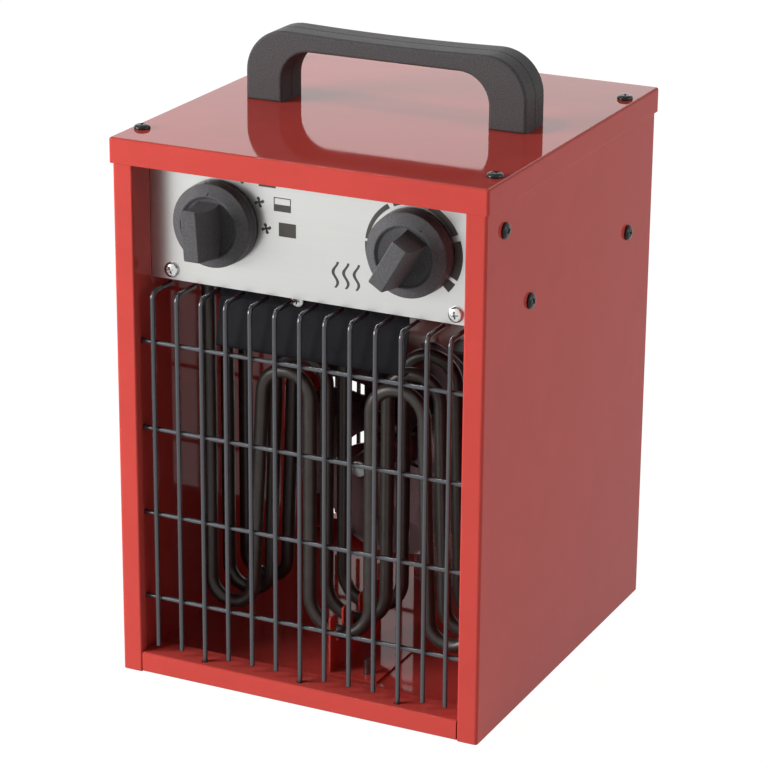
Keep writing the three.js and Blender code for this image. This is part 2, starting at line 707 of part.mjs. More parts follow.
// ---------------------------------------------------------------- heating elements
// Each tube runs down from one terminal, through three bottom bends and two top bends,
// and up to the other terminal.
function heatingElement({ y, topZ, leftX }) {
  const outerBottom = 29.7;
  const middleBottom = 24.5;
  const middleX = 17;
  const rightX = 45.5;
  const half = (topX, radius) => [
    [middleX, middleBottom, 16.7], [middleX, topZ, radius], [topX, topZ, radius],
    [50, outerBottom, 11.8], [TERMINAL_X, outerBottom, 11.8],
  ];
  const bend = (topX) => (topX - middleX) / 2 - 0.25;
  const end = 212;
  const right = half(rightX, bend(rightX)).map(([x, z, radius]) => [x, y, z, radius]);
  const left = half(leftX, bend(leftX)).map(([x, z, radius]) => [-x, y, z, radius]).reverse();
  const corners = [[-TERMINAL_X, y, end], ...left, ...right, [TERMINAL_X, y, end]];
  const parts = [tube(new Route(corners, 3), TUBE_RADIUS, 8)];
  for (const sign of [-1, 1]) {
    const at = (z) => [sign * TERMINAL_X, y, z];
    parts.push(bar(at(202), at(TRAY.z - GAP), 7, 6));
    parts.push(bar(at(204), at(219), 5, 10));
    parts.push(bar(at(218), at(232), 1.7, 6));
  }
  return join(parts);
}

function elementNut() {
  return cut(bar([0, 0, 0], [0, 0, 4.5], 8, 6), [bar([0, 0, -1], [0, 0, 6], 5 + GAP, 10)]);
}

function addElements() {
  ELEMENTS.forEach((element) => {
    const { row, y } = element;
    addMesh(`heating_element_${row}`, heatingElement(element), ELEMENT_SHEATH);
    for (const [side, sign] of [['left', -1], ['right', 1]]) {
      const place = { position: [sign * TERMINAL_X, y, TRAY.z + SHEET] };
      addMesh(`element_nut_${row}_${side}`, elementNut(), ZINC, place);
    }
  });
}

// Comb that stands on the floor and holds the three middle bends between its teeth.
function elementComb() {
  const low = BODY.bottom + SHEET;
  const front = FRONT + 38.5;
  const back = FRONT + 97.5;
  const webTop = 20.7;
  const toothTop = 36;
  const slot = TUBE_RADIUS + 0.6;
  const tooth = 6.4;
  const profile = [[back, low], [front, low], [front, toothTop - 1.5], [front + 1.5, toothTop]];
  ROW_Y.forEach((y, i) => {
    const lead = i ? y - slot - 3.9 : y - slot;
    if (i) profile.push([lead, toothTop], [lead, webTop + 9]);
    else profile.push([lead, toothTop]);
    profile.push([y - slot, i ? webTop + 9 : toothTop - 4], [y - slot, webTop]);
    profile.push([y + slot, webTop], [y + slot, toothTop - 1.5]);
    profile.push([y + slot + 1.5, toothTop]);
  });
  profile.push([back - 1, toothTop], [back, toothTop - 1.5]);
  const seen = new Set();
  const corners = profile.filter((point) => {
    const key = point.map((value) => value.toFixed(2)).join();
    if (seen.has(key)) return false;
    seen.add(key);
    return true;
  });
  const plate = extrude(outline(corners), 'YZ', -SHEET, 0);
  const flange = box(-SHEET, 26, front, front + 46, low, low + SHEET);
  const { x, y } = COMB_SCREW;
  return cut(join([plate, flange]), [bar([x, y, 2], [x, y, 9], 2.1, 8)]);
}

// ---------------------------------------------------------------- fan and motor
// A closed sheet over a grid of points [x, y, z], thickened along Z. Its rows run outward and
// each row runs anticlockwise.
function gridSheet(rows, thickness) {
  const points = rows.flat();
  const lift = thickness / 2;
  const upper = points.map(([x, y, z]) => [x, y, z + lift]);
  const lower = points.map(([x, y, z]) => [x, y, z - lift]);
  const columns = rows[0].length;
  const at = (i, j) => i * columns + j;
  const under = points.length;
  const index = [];
  const quad = (a, b, c, d) => index.push(a, b, c, a, c, d);
  for (let i = 0; i + 1 < rows.length; i += 1) {
    for (let j = 0; j + 1 < columns; j += 1) {
      const corners = [at(i, j), at(i + 1, j), at(i + 1, j + 1), at(i, j + 1)];
      quad(...corners);
      quad(...corners.map((corner) => under + corner).reverse());
    }
  }
  const lastRow = rows.length - 1;
  const lastColumn = columns - 1;
  const rim = [];
  for (let i = 0; i < lastRow; i += 1) rim.push(at(i, 0));
  for (let j = 0; j < lastColumn; j += 1) rim.push(at(lastRow, j));
  for (let i = lastRow; i > 0; i -= 1) rim.push(at(i, lastColumn));
  for (let j = lastColumn; j > 0; j -= 1) rim.push(at(0, j));
  rim.forEach((a, k) => {
    const b = rim[(k + 1) % rim.length];
    quad(under + a, under + b, b, a);
  });
  const geometry = new THREE.BufferGeometry();
  const position = [...upper, ...lower].flat();
  geometry.setAttribute('position', new THREE.Float32BufferAttribute(position, 3));
  geometry.setIndex(index);
  return toSolid(geometry);
}

function fanBlade(directionDeg) {
  const { stations, sweep, twist, phaseRadius } = BLADE;
  const across = [-1, -0.6, -0.2, 0.2, 0.6, 1];
  const rows = stations.map(([radius, halfDeg]) => across.map((share) => {
    const offset = THREE.MathUtils.degToRad(share * halfDeg);
    const middle = THREE.MathUtils.degToRad(directionDeg + sweep * (radius - phaseRadius));
    const angle = middle + offset;
    return [radius * Math.cos(angle), radius * Math.sin(angle), twist * offset];
  }));
  return gridSheet(rows, FAN.sheet);
}

// Drawn with its own +Z to the front.
function fanImpeller() {
  const parts = [bar([0, 0, -7], [0, 0, 7], FAN.hub, 20)];
  for (let k = 0; k < FAN.blades; k += 1) {
    parts.push(fanBlade(BLADE.phaseDeg + (360 * k) / FAN.blades));
  }
  return cut(join(parts), [bar([0, 0, -10], [0, 0, 10], SHAFT.radius + GAP, SHAFT.sides)]);
}

// Long round nut whose nose stands between the elements' middle legs.
function fanNut() {
  const length = FAN.y - 7 - GAP - NOSE_Y;
  const nose = lathe(
    [[0, 0], [8, 0], [8, 3], [6.2, 5], [6.2, length - 4], [4.6, length - 1.2], [0, length]],
    12,
  );
  return cut(nose, [bar([0, 0, -1], [0, 0, 14], SHAFT.radius + GAP, SHAFT.sides)]);
}

function motorStator() {
  const { halfX, bottom, top, bore, front, back } = MOTOR;
  const sheetStack = box(-halfX, halfX, front, back, bottom, top);
  const core = bar([0, front - 1, AXIS_Z], [0, back + 1, AXIS_Z], bore, 20);
  const window = box(-17, 17, front - 1, back + 1, AXIS_Z + 22, top - 13);
  return cut(sheetStack, [core, window]);
}

function motorCoil() {
  const { front, back, top } = MOTOR;
  const block = box(-16.5, 16.5, front - 9, back + 9, AXIS_Z + 22.5, top + 10);
  return cut(block, [box(-20, 20, front - GAP, back + GAP, top - 13 - GAP, top + GAP)]);
}

// Bridge strip with a bearing boss, screwed across the stator's face.
function bearingBridge(face, away) {
  const y = (distance) => face + away * distance;
  const slab = (x0, x1, a, b, z0, z1) => box(x0, x1, Math.min(a, b), Math.max(a, b), z0, z1);
  const low = AXIS_Z - 7;
  const high = AXIS_Z + 7;
  const bridge = join([
    slab(-29, -17, y(0), y(1.5), low, high),
    slab(17, 29, y(0), y(1.5), low, high),
    slab(-18.5, -17, y(0), y(11), low, high),
    slab(17, 18.5, y(0), y(11), low, high),
    slab(-18.5, 18.5, y(9.5), y(11), low, high),
    bar([0, y(5), AXIS_Z], [0, y(11), AXIS_Z], 6, 16),
  ]);
  const { radius, sides } = SHAFT;
  const bore = bar([0, y(-2), AXIS_Z], [0, y(14), AXIS_Z], runningRadius(radius, sides), sides);
  return cut(bridge, [bore]);
}

// Upright strap, bolted to the floor and the tray, that carries the motor.
function motorMount() {
  const y = MOTOR.back + 11;
  const low = BODY.bottom + SHEET;
  const strap = join([
    box(-14, 14, y, y + 1.5, low, TRAY.z),
    box(-14, 14, y, y + 16, low, low + 1.5),
    box(-14, 14, y, y + 16, TRAY.z - 1.5, TRAY.z),
  ]);
  return cut(strap, [bar([0, y - 2, AXIS_Z], [0, y + 4, AXIS_Z], 4, 12)]);
}

function addMotor() {
  const front = (y) => ({ position: [0, y, AXIS_Z], rotation: TO_FRONT });
  addMesh('fan_impeller', fanImpeller(), ALUMINIUM, front(FAN.y));
  addMesh('fan_nut', fanNut(), ZINC, front(FAN.y - 7 - GAP));
  const ends = [[0, FAN.y - 19, AXIS_Z], [0, MOTOR.back + 15, AXIS_Z]];
  addMesh('motor_shaft', bar(...ends, SHAFT.radius, SHAFT.sides), ZINC);
  const inset = 1;
  const rotor = cut(
    bar([0, MOTOR.front + inset, AXIS_Z], [0, MOTOR.back - inset, AXIS_Z], 12.7, 20),
    [bar([0, 0, AXIS_Z], [0, 90, AXIS_Z], SHAFT.radius + GAP, SHAFT.sides)],
  );
  addMesh('motor_rotor', rotor, ALUMINIUM);
  addMesh('motor_stator', motorStator(), LAMINATION);
  addMesh('motor_coil', motorCoil(), WHITE_NYLON);
  addMesh('motor_bearing_front', bearingBridge(MOTOR.front, -1), ZINC);
  addMesh('motor_bearing_rear', bearingBridge(MOTOR.back, 1), ZINC);
  addMesh('motor_mount', motorMount(), ZINC);
}

// ---------------------------------------------------------------- assembly
addMesh('casing', casing(), RED_PAINT);
addMesh('lid', lid(), RED_PAINT);
addMesh('control_tray', controlTray(), RED_PAINT);
addMesh('control_plate', controlPlate(), STAINLESS);
addMesh('heat_baffle', heatBaffle(), BLACK_PAINT);
addMesh('front_grille', frontGrille(), COATED_WIRE);
addMesh('rear_guard', rearGuard(), COATED_WIRE);
addMesh('handle_front_half', handleHalf(false), BLACK_PLASTIC);
addMesh('handle_rear_half', handleHalf(true), BLACK_PLASTIC);
addControls();
addMesh('thermostat_bulb', thermostatBulb(), COPPER);
addMesh('thermal_cutout', thermalCutout(), WHITE_NYLON);
addMesh('terminal_block', terminalBlock(), WHITE_NYLON);
addMesh('cable_gland', cableGland(), BLACK_PLASTIC);
addMesh('gland_nut', glandNut(), BLACK_PLASTIC);
addElements();
addMesh('element_comb', elementComb(), RED_PAINT);
addMotor();
addScrews();
FEET.forEach(([x, y], i) => {
  addMesh(`foot_${i + 1}`, foot(), RUBBER, { position: [x, y, 0] });
});

export default model;
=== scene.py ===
"""Looks of a square sheet-metal fan heater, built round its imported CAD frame.

Part dimensions are in millimetres in the frame's own axes: +Z up, the front faces -Y.
"""

import json
import math

import bmesh
import bpy
from mathutils import Matrix, Vector

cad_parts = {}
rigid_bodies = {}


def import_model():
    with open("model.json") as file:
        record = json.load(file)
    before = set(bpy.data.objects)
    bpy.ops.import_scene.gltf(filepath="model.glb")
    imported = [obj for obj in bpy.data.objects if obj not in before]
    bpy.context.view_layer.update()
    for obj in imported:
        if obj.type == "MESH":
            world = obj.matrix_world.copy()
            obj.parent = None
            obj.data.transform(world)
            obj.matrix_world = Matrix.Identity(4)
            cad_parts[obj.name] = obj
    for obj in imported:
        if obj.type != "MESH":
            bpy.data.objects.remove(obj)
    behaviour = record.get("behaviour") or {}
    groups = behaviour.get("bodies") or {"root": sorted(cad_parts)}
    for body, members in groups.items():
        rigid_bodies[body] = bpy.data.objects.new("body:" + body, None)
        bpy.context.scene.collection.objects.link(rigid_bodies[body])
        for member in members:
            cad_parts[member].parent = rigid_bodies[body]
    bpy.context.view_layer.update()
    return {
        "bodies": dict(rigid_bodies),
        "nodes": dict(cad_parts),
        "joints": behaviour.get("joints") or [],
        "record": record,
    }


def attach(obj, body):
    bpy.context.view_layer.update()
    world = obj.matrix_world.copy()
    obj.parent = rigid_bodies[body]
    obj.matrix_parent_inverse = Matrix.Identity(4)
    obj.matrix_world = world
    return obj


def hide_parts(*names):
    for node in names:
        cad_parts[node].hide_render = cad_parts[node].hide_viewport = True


MM = 0.001

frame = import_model()


def add_object(name, data):
    """An object with this data, in the scene."""
    obj = bpy.data.objects.new(name, data)
    bpy.context.scene.collection.objects.link(obj)
    return obj


# ------------------------------------------------------------------ camera
CAMERA_AZIMUTH = 25.693
CAMERA_ELEVATION = 19.718
CAMERA_ROLL = 0.468
CAMERA_DISTANCE = 1550.6
CAMERA_TARGET = Vector((-3.68, 0, 139.51))
FOCAL_PIXELS = 3022.9
IMAGE_PIXELS = 768
SENSOR_WIDTH = 36


def make_camera():
    """A camera that stands off from its target and is rolled a little."""
    azimuth, elevation, roll = map(
        math.radians, (CAMERA_AZIMUTH, CAMERA_ELEVATION, CAMERA_ROLL)
    )
    level = math.cos(elevation)
    back = Vector((math.sin(azimuth) * level, -math.cos(azimuth) * level, math.sin(elevation)))
    right = (-back).cross(Vector((0, 0, 1))).normalized()
    up = right.cross(-back)
    right, up = (
        right * math.cos(roll) + up * math.sin(roll),
        up * math.cos(roll) - right * math.sin(roll),
    )
    data = bpy.data.cameras.new("camera")
    data.sensor_width = SENSOR_WIDTH
    data.lens = FOCAL_PIXELS * SENSOR_WIDTH / IMAGE_PIXELS
    data.clip_start, data.clip_end = 0.05, 60
    camera = add_object("camera", data)
    matrix = Matrix((right, up, back)).transposed().to_4x4()
    matrix.translation = (CAMERA_TARGET + back * CAMERA_DISTANCE) * MM
    camera.matrix_world = matrix
    bpy.context.scene.camera = camera


make_camera()


# ------------------------------------------------------------------ materials
FINISHES = {}
NOISE_ROUGHNESS = 0.55
NOISE_RANGE = (0.3, 0.7)
TONE_DETAIL, GLOSS_DETAIL = 4, 3


class Nodes:
    """Short names for the node work of one material."""

    def __init__(self, tree):
        self.tree = tree
        self.where = None

    def add(self, kind, **values):
        node = self.tree.nodes.new("ShaderNode" + kind)
        for name, value in values.items():
            setattr(node, name, value)
        return node

    def link(self, out, into):
        self.tree.links.new(out, into)

    def position(self, stretch):
        """Place on the piece in metres, with each axis scaled."""
        if self.where is None:
            self.where = self.add("TexCoord").outputs["Object"]
        if stretch == (1, 1, 1):
            return self.where
        mapping = self.add("Mapping")
        mapping.inputs["Scale"].default_value = stretch
        self.link(self.where, mapping.inputs["Vector"])
        return mapping.outputs["Vector"]

    def noise(self, scale, detail, stretch):
        node = self.add("TexNoise")
        node.inputs["Scale"].default_value = scale
        node.inputs["Detail"].default_value = detail
        node.inputs["Roughness"].default_value = NOISE_ROUGHNESS
        self.link(self.position(stretch), node.inputs["Vector"])
        return node.outputs["Fac"]

    def remap(self, value, low, high):
        """A noise value, spread from low to high over the range that noise mostly fills."""
        node = self.add("MapRange")
        names = ("From Min", "From Max", "To Min", "To Max")
        for name, number in zip(names, (*NOISE_RANGE, low, high)):
            node.inputs[name].default_value = number
        self.link(value, node.inputs["Value"])
        return node.outputs["Result"]

    def blend(self, factor, dark, light):
        node = self.add("Mix", data_type="RGBA")
        self.link(factor, node.inputs["Factor"])
        for socket, colour in ((node.inputs[6], dark), (node.inputs[7], light)):
            socket.default_value = (*colour, 1)
        return node.outputs[2]

    def bump(self, height, distance):
        node = self.add("Bump")
        node.inputs["Strength"].default_value = 1.0
        node.inputs["Distance"].default_value = distance
        self.link(height, node.inputs["Height"])
        return node.outputs["Normal"]


def finish(
    name, colour, roughness, *, vary=0.06, vary_scale=45, rough_vary=0.04, rough_scale=120,
    grain, stretch=(1, 1, 1), **sockets,
):
    """Adds a procedural material to FINISHES, its colour and roughness varied by noise.

    vary is the share by which the colour changes, rough_vary the change of roughness, and
    grain a bump (scale per metre, depth in metres, detail). The sockets are the shader's own,
    with _ for a space.
    """
    material = bpy.data.materials.new(name)
    material.use_nodes = True
    nodes = Nodes(material.node_tree)
    shader = material.node_tree.nodes["Principled BSDF"]
    for socket, value in sockets.items():
        shader.inputs[socket.replace("_", " ")].default_value = value
    tones = [tuple(c * (1 + sign * vary) for c in colour) for sign in (-1, 1)]
    tone = nodes.remap(nodes.noise(vary_scale, TONE_DETAIL, stretch), 0, 1)
    nodes.link(nodes.blend(tone, *tones), shader.inputs["Base Color"])
    gloss = nodes.noise(rough_scale, GLOSS_DETAIL, stretch)
    gloss = nodes.remap(gloss, roughness - rough_vary, roughness + rough_vary)
    nodes.link(gloss, shader.inputs["Roughness"])
    scale, depth, detail = grain
    normal = nodes.bump(nodes.noise(scale, detail, stretch), depth)
    nodes.link(normal, shader.inputs["Normal"])
    FINISHES[name] = material


finish(
    "red_paint", (0.54, 0.064, 0.052), 0.05, vary=0.03, rough_vary=0.015, Specular_IOR_Level=0.06,
    grain=(60, 0.000006, 2),
)
finish(
    "black_plastic", (0.076, 0.073, 0.075), 0.52, vary=0.25, vary_scale=1300,
    rough_vary=0.08, rough_scale=1600, Specular_IOR_Level=0.06,
    grain=(1500, 0.00009, 3),
)
# Knobs: a lighter copy of the black plastic with more specular. This is painted light for the
# light that falls on the knobs' rings.
finish(
    "knob_plastic_painted_light", (0.092, 0.090, 0.094), 0.48, vary=0.25, vary_scale=1300,
    rough_vary=0.08, rough_scale=1600, Specular_IOR_Level=0.10,
    grain=(1500, 0.00006, 3),
)
finish(
    "stainless", (0.54, 0.54, 0.527), 0.30, vary=0.015, vary_scale=24,
    rough_vary=0.02, rough_scale=40, stretch=(1, 60, 60), Metallic=1.0,
    grain=(90, 0.0000006, 4),
)
finish(
    "black_paint", (0.009, 0.009, 0.012), 0.32, vary=0.1, rough_vary=0.06,
    Specular_IOR_Level=0.06, grain=(300, 0.00002, 3),
)
finish(
    "coated_wire", (0.040, 0.043, 0.051), 0.20, vary=0.04, vary_scale=300,
    rough_vary=0.03, Specular_IOR_Level=0.72, grain=(900, 0.000002, 3),
)
finish(
    "element_sheath", (0.047, 0.041, 0.036), 0.38, vary=0.12, vary_scale=160,
    rough_vary=0.06, rough_scale=260, Metallic=0.35, grain=(900, 0.000005, 3),
)
finish(
    "zinc", (0.60, 0.60, 0.58), 0.28, vary_scale=200, rough_vary=0.07, Metallic=1.0,
    grain=(700, 0.00001, 3),
)
finish(
    "chrome", (0.62, 0.62, 0.615), 0.24, vary=0.03, vary_scale=300, Metallic=1.0,
    grain=(500, 0.000006, 2),
)
finish(
    "black_screw", (0.010, 0.010, 0.010), 0.25, vary=0.1, vary_scale=400,
    rough_vary=0.05, Specular_IOR_Level=0.25, grain=(900, 0.00001, 2),
)
finish(
    "aluminium_sheet", (0.66, 0.67, 0.68), 0.26, vary=0.05, vary_scale=120,
    rough_vary=0.06, Metallic=1.0, grain=(400, 0.00001, 3),
)
# Fan blades: aluminium painted dark maroon. This is a painted shade of the dark inside together
# with a painted reflection of the red casing, not the metal's own colour.
finish(
    "aluminium_painted_shade_and_red_reflection", (0.105, 0.060, 0.064), 0.30, vary_scale=120, rough_vary=0.05,
    Metallic=1.0, grain=(300, 0.000003, 2),
)
# Zinc painted darker for the comb screw's tip and the fan's nose inside the casing. This is a
# painted shade in place of the zinc's own pale colour.
finish(
    "zinc_painted_shade", (0.22, 0.22, 0.215), 0.32, vary_scale=200, rough_vary=0.07, Metallic=1.0,
    grain=(700, 0.00001, 3),
)
finish(
    "lamination", (0.10, 0.10, 0.11), 0.5, vary=0.25, vary_scale=30, stretch=(1, 50, 1),
    rough_vary=0.1, Metallic=0.6, grain=(40, 0.0001, 2),
)
finish(
    "nylon", (0.60, 0.585, 0.53), 0.5, vary=0.05, vary_scale=150, rough_vary=0.06,
    grain=(900, 0.00002, 3),
)
finish(
    "copper", (0.62, 0.27, 0.14), 0.3, vary=0.12, vary_scale=200, rough_vary=0.08,
    Metallic=1.0, grain=(600, 0.00001, 3),
)
finish(
    "rubber", (0.014, 0.014, 0.014), 0.8, vary=0.15, vary_scale=500, rough_vary=0.08,
    grain=(1200, 0.00005, 3),
)
finish(
    "ink", (0.030, 0.026, 0.020), 0.42, vary=0.15, vary_scale=700, rough_vary=0.08,
    grain=(1500, 0.00001, 2),
)


# ------------------------------------------------------------------ shapes
class Part:
    """A closed mesh that can be moved and put beside others."""

    def __init__(self, verts, faces):
        self.verts = [Vector(v) for v in verts]
        self.faces = [tuple(f) for f in faces]

    def moved(self, matrix):
        return Part([matrix @ v for v in self.verts], self.faces)

    def __add__(self, other):
        shift = len(self.verts)
        faces = [tuple(i + shift for i in f) for f in other.faces]
        return Part(self.verts + other.verts, self.faces + faces)


def together(parts):
    parts = list(parts)
    whole = parts[0]
    for part in parts[1:]:
        whole = whole + part
    return whole


def turn(axis, degrees):
    """A turn about one of the frame's axes."""
    return Matrix.Rotation(math.radians(degrees), 4, axis)


def place(where, *turns):
    """A move to a place, after the turns, of which the last is made first."""
    matrix = Matrix.Translation(Vector(where))
    for step in turns:
        matrix = matrix @ step
    return matrix


def rectangle(u0, v0, u1, v1, *extra):
    """The corners of a rectangle, each with what else is given."""
    return [(u0, v0, *extra), (u1, v0, *extra), (u1, v1, *extra), (u0, v1, *extra)]


def rounded(corners, steps):
    """A closed outline of corners (u, v, radius), as points with the corners rounded."""
    points = []
    count = len(corners)
    for i, (u, v, *rest) in enumerate(corners):
        here, radius = Vector((u, v)), rest[0] if rest else 0
        if not radius:
            points.append(here)
            continue
        back = (Vector(corners[i - 1][:2]) - here).normalized()
        onward = (Vector(corners[(i + 1) % count][:2]) - here).normalized()
        half = math.acos(max(-1, min(1, back.dot(onward)))) / 2
        centre = here + (back + onward).normalized() * (radius / math.sin(half))
        arm = here + back * (radius / math.tan(half)) - centre
        sweep = math.pi - 2 * half
        if back.x * onward.y - back.y * onward.x > 0:
            sweep = -sweep
        for k in range(steps + 1):
            c, s = math.cos(sweep * k / steps), math.sin(sweep * k / steps)
            points.append(centre + Vector((arm.x * c - arm.y * s, arm.x * s + arm.y * c)))
    return points


def inset(points, distance):
    """A closed outline moved inward, whichever way round it runs."""
    if not distance:
        return list(points)
    count = len(points)
    area = sum(
        points[i - 1].x * points[i].y - points[i].x * points[i - 1].y for i in range(count)
    )
    side = 1 if area > 0 else -1
    moved = []
    for i, here in enumerate(points):
        before = (here - points[i - 1]).normalized()
        after = (points[(i + 1) % count] - here).normalized()
        a = Vector((-before.y, before.x)) * side
        b = Vector((-after.y, after.x)) * side
        moved.append(here + (a + b) * (distance / max(0.2, 1 + a.dot(b))))
    return moved


def loft(rings):
    """Quads between rings of equal length, with flat ends."""
    count = len(rings[0])
    verts = [point for ring in rings for point in ring]
    faces = []
    last = (len(rings) - 1) * count
    for low in range(0, last, count):
        high = low + count
        for k in range(count):
            n = (k + 1) % count
            faces.append((low + k, low + n, high + n, high + k))
    faces.append(tuple(range(count))[::-1])
    faces.append(tuple(last + k for k in range(count)))
    return Part(verts, faces)


PLANES = {
    "XY": Matrix.Identity(4),
    "YZ": Matrix(((0, 0, 1, 0), (1, 0, 0, 0), (0, 1, 0, 0), (0, 0, 0, 1))),
    "XZ": Matrix(((1, 0, 0, 0), (0, 0, 1, 0), (0, 1, 0, 0), (0, 0, 0, 1))),
}


def edge_layers(level, inward, edge, steps):
    """The (inset, level) of each ring of a rounded edge, from the end face inward."""
    if not edge:
        return [(0, level)]
    angles = [math.pi / 2 * k / steps for k in range(steps + 1)]
    return [
        (edge * (1 - math.sin(a)), level + inward * edge * (1 - math.cos(a))) for a in angles
    ]


def prism(points, plane, low, high, low_edge=0.0, high_edge=0.0, steps=3):
    """An outline drawn out from low to high, with rounded edges at either end."""
    layers = edge_layers(low, 1, low_edge, steps)
    layers += edge_layers(high, -1, high_edge, steps)[::-1]
    rings = [[(p.x, p.y, h) for p in inset(points, d)] for d, h in layers]
    return loft(rings).moved(PLANES[plane])


def block(low, high, edge=0.0, steps=2):
    """A box with rounded upright edges and rounded ends."""
    (x0, y0, z0), (x1, y1, z1) = low, high
    outline = rounded(rectangle(x0, y0, x1, y1, edge), steps)
    return prism(outline, "XY", z0, z1, edge, edge, steps)


ON_AXIS = 1e-6


def lathe(profile, segments, closed=False):
    """A profile of (radius, height) turned about Z; closed joins its end to its start."""
    verts, rings, faces = [], [], []
    for radius, height in profile:
        start = len(verts)
        if radius < ON_AXIS:
            verts.append((0, 0, height))
            rings.append([start] * segments)
            continue
        for k in range(segments):
            a = 2 * math.pi * k / segments
            verts.append((radius * math.cos(a), radius * math.sin(a), height))
        rings.append(list(range(start, start + segments)))
    pairs = list(zip(rings, rings[1:]))
    if closed:
        pairs.append((rings[-1], rings[0]))
    for low, high in pairs:
        for k in range(segments):
            n = (k + 1) % segments
            quad = list(dict.fromkeys((low[k], low[n], high[n], high[k])))
            if len(quad) > 2:
                faces.append(quad)
    return Part(verts, faces)


def turned(corners, segments, closed=False):
    """A lathe of profile corners (radius, height, rounding)."""
    return lathe([tuple(p) for p in rounded(corners, 4)], segments, closed)


def hexagon(radius):
    """A nut's outline, with corners at this radius."""
    angles = [math.pi * (k / 3 + 1 / 6) for k in range(6)]
    return [Vector((radius * math.cos(a), radius * math.sin(a))) for a in angles]


def frames_along(path):
    """A right and an up direction at each point of a path, without twist."""
    tangents = []
    for i in range(len(path)):
        ahead, behind = path[min(i + 1, len(path) - 1)], path[max(i - 1, 0)]
        tangents.append((ahead - behind).normalized())
    guide = Vector((0, 0, 1)) if abs(tangents[0].z) < 0.9 else Vector((1, 0, 0))
    right = tangents[0].cross(guide).normalized()
    frames = []
    for i, tangent in enumerate(tangents):
        if i:
            right = tangents[i - 1].rotation_difference(tangent) @ right
        right = (right - tangent * right.dot(tangent)).normalized()
        frames.append((right, tangent.cross(right)))
    return frames, tangents


CAP_STEPS = 3


def tube(path, radius, sides, cap=0.0):
    """A round rod along a path; cap rounds its ends."""
    path = [Vector(p) for p in path]
    frames, tangents = frames_along(path)
    angles = [2 * math.pi * (k + 0.5) / sides for k in range(sides)]

    def ring(at, r, frame):
        right, up = frame
        return [at + (right * math.cos(a) + up * math.sin(a)) * r for a in angles]

    def end_rings(end, inward):
        """One end's rings, from its face in to the full radius."""
        rings = []
        for k in range(CAP_STEPS if cap else 0):
            a = math.pi / 2 * k / CAP_STEPS
            at = path[end] + tangents[end] * inward * cap * (1 - math.cos(a))
            rings.append(ring(at, radius - cap * (1 - math.sin(a)), frames[end]))
        full = path[end] + tangents[end] * inward * cap
        return rings + [ring(full, radius, frames[end])]

    middle = [ring(path[i], radius, frames[i]) for i in range(1, len(path) - 1)]
    return loft(end_rings(0, 1) + middle + end_rings(-1, -1)[::-1])


def rod(start, end, radius, sides, cap=0.0):
    return tube([start, end], radius, sides, cap)


def drill(axis, centre, low, high, radius, sides=20):
    """A rod along X, Y or Z from low to high, at a centre in the other two, to cut a hole."""
    ends = []
    for end in (low, high):
        point = list(centre)
        point.insert("XYZ".index(axis), end)
        ends.append(point)
    return rod(*ends, radius, sides)


def route(corners, steps=8):
    """A path through corners (x, y, z, radius), each bend rounded."""
    points = []
    for i, (x, y, z, *rest) in enumerate(corners):
        here, radius = Vector((x, y, z)), rest[0] if rest else 0
        if not radius:
            points.append(here)
            continue
        back = (Vector(corners[i - 1][:3]) - here).normalized()
        onward = (Vector(corners[i + 1][:3]) - here).normalized()
        half = back.angle(onward) / 2
        centre = here + (back + onward).normalized() * (radius / math.sin(half))
        arm = here + back * (radius / math.tan(half)) - centre
        axis = back.cross(onward).normalized()
        for k in range(steps + 1):
            spin = Matrix.Rotation(-(math.pi - 2 * half) * k / steps, 3, axis)
            points.append(spin @ arm + centre)
    return points


# ------------------------------------------------------------------ pieces
WELD_DISTANCE = 1e-7


def raw_object(name, part, material=None):
    """A part as an object in metres, its doubled points welded and its faces turned out."""
    mesh = bpy.data.meshes.new(name)
    mesh.from_pydata([v * MM for v in part.verts], [], part.faces)
    work = bmesh.new()
    work.from_mesh(mesh)
    bmesh.ops.remove_doubles(work, verts=work.verts, dist=WELD_DISTANCE)
    bmesh.ops.recalc_face_normals(work, faces=work.faces)
    work.to_mesh(mesh)
    work.free()
    if material:
        mesh.materials.append(material)
    return add_object(name, mesh)


def bake(obj):
    """Puts the modifiers' result into the mesh."""
    graph = bpy.context.evaluated_depsgraph_get()
    mesh = bpy.data.meshes.new_from_object(obj.evaluated_get(graph), depsgraph=graph)
    old = obj.data
    obj.modifiers.clear()
    obj.data = mesh
    bpy.data.meshes.remove(old)


def boolean(obj, operation, parts):
    """Joins parts to an object, or cuts them out of it."""
    others = []
    for part in parts:
        other = raw_object("tool", part)
        modifier = obj.modifiers.new("boolean", "BOOLEAN")
        modifier.operation, modifier.solver, modifier.object = operation, "EXACT", other
        others.append(other)
    bake(obj)
    for other in others:
        bpy.data.objects.remove(other)


def soften(obj, width, steps=2, angle=40):
    """Rounds the edges that are sharper than an angle."""
    modifier = obj.modifiers.new("bevel", "BEVEL")
    modifier.width, modifier.segments = width * MM, steps
    modifier.limit_method, modifier.angle_limit = "ANGLE", math.radians(angle)
    modifier.use_clamp_overlap = True
    bake(obj)


def piece(
    name, part, slot, body="housing", replaces=(), joined=(), cut=(), edge=0.0, sharp=32,
    look=None,
):
    """One named piece on its body: built, joined, softened by edge in mm, cut and shaded.

    sharp is the angle in degrees from which an edge is shaded sharp, and look names a finish
    that stands in for the slot's own.
    """
    obj = raw_object(name, part, FINISHES[look or slot])
    if joined:
        boolean(obj, "UNION", joined)
    if edge:
        soften(obj, edge)
    if cut:
        boolean(obj, "DIFFERENCE", cut)
    obj.data.shade_smooth()
    obj.data.set_sharp_from_angle(angle=math.radians(sharp))
    modifier = obj.modifiers.new("normals", "WEIGHTED_NORMAL")
    modifier.keep_sharp = True
    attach(obj, body)
    if replaces:
        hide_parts(*replaces)


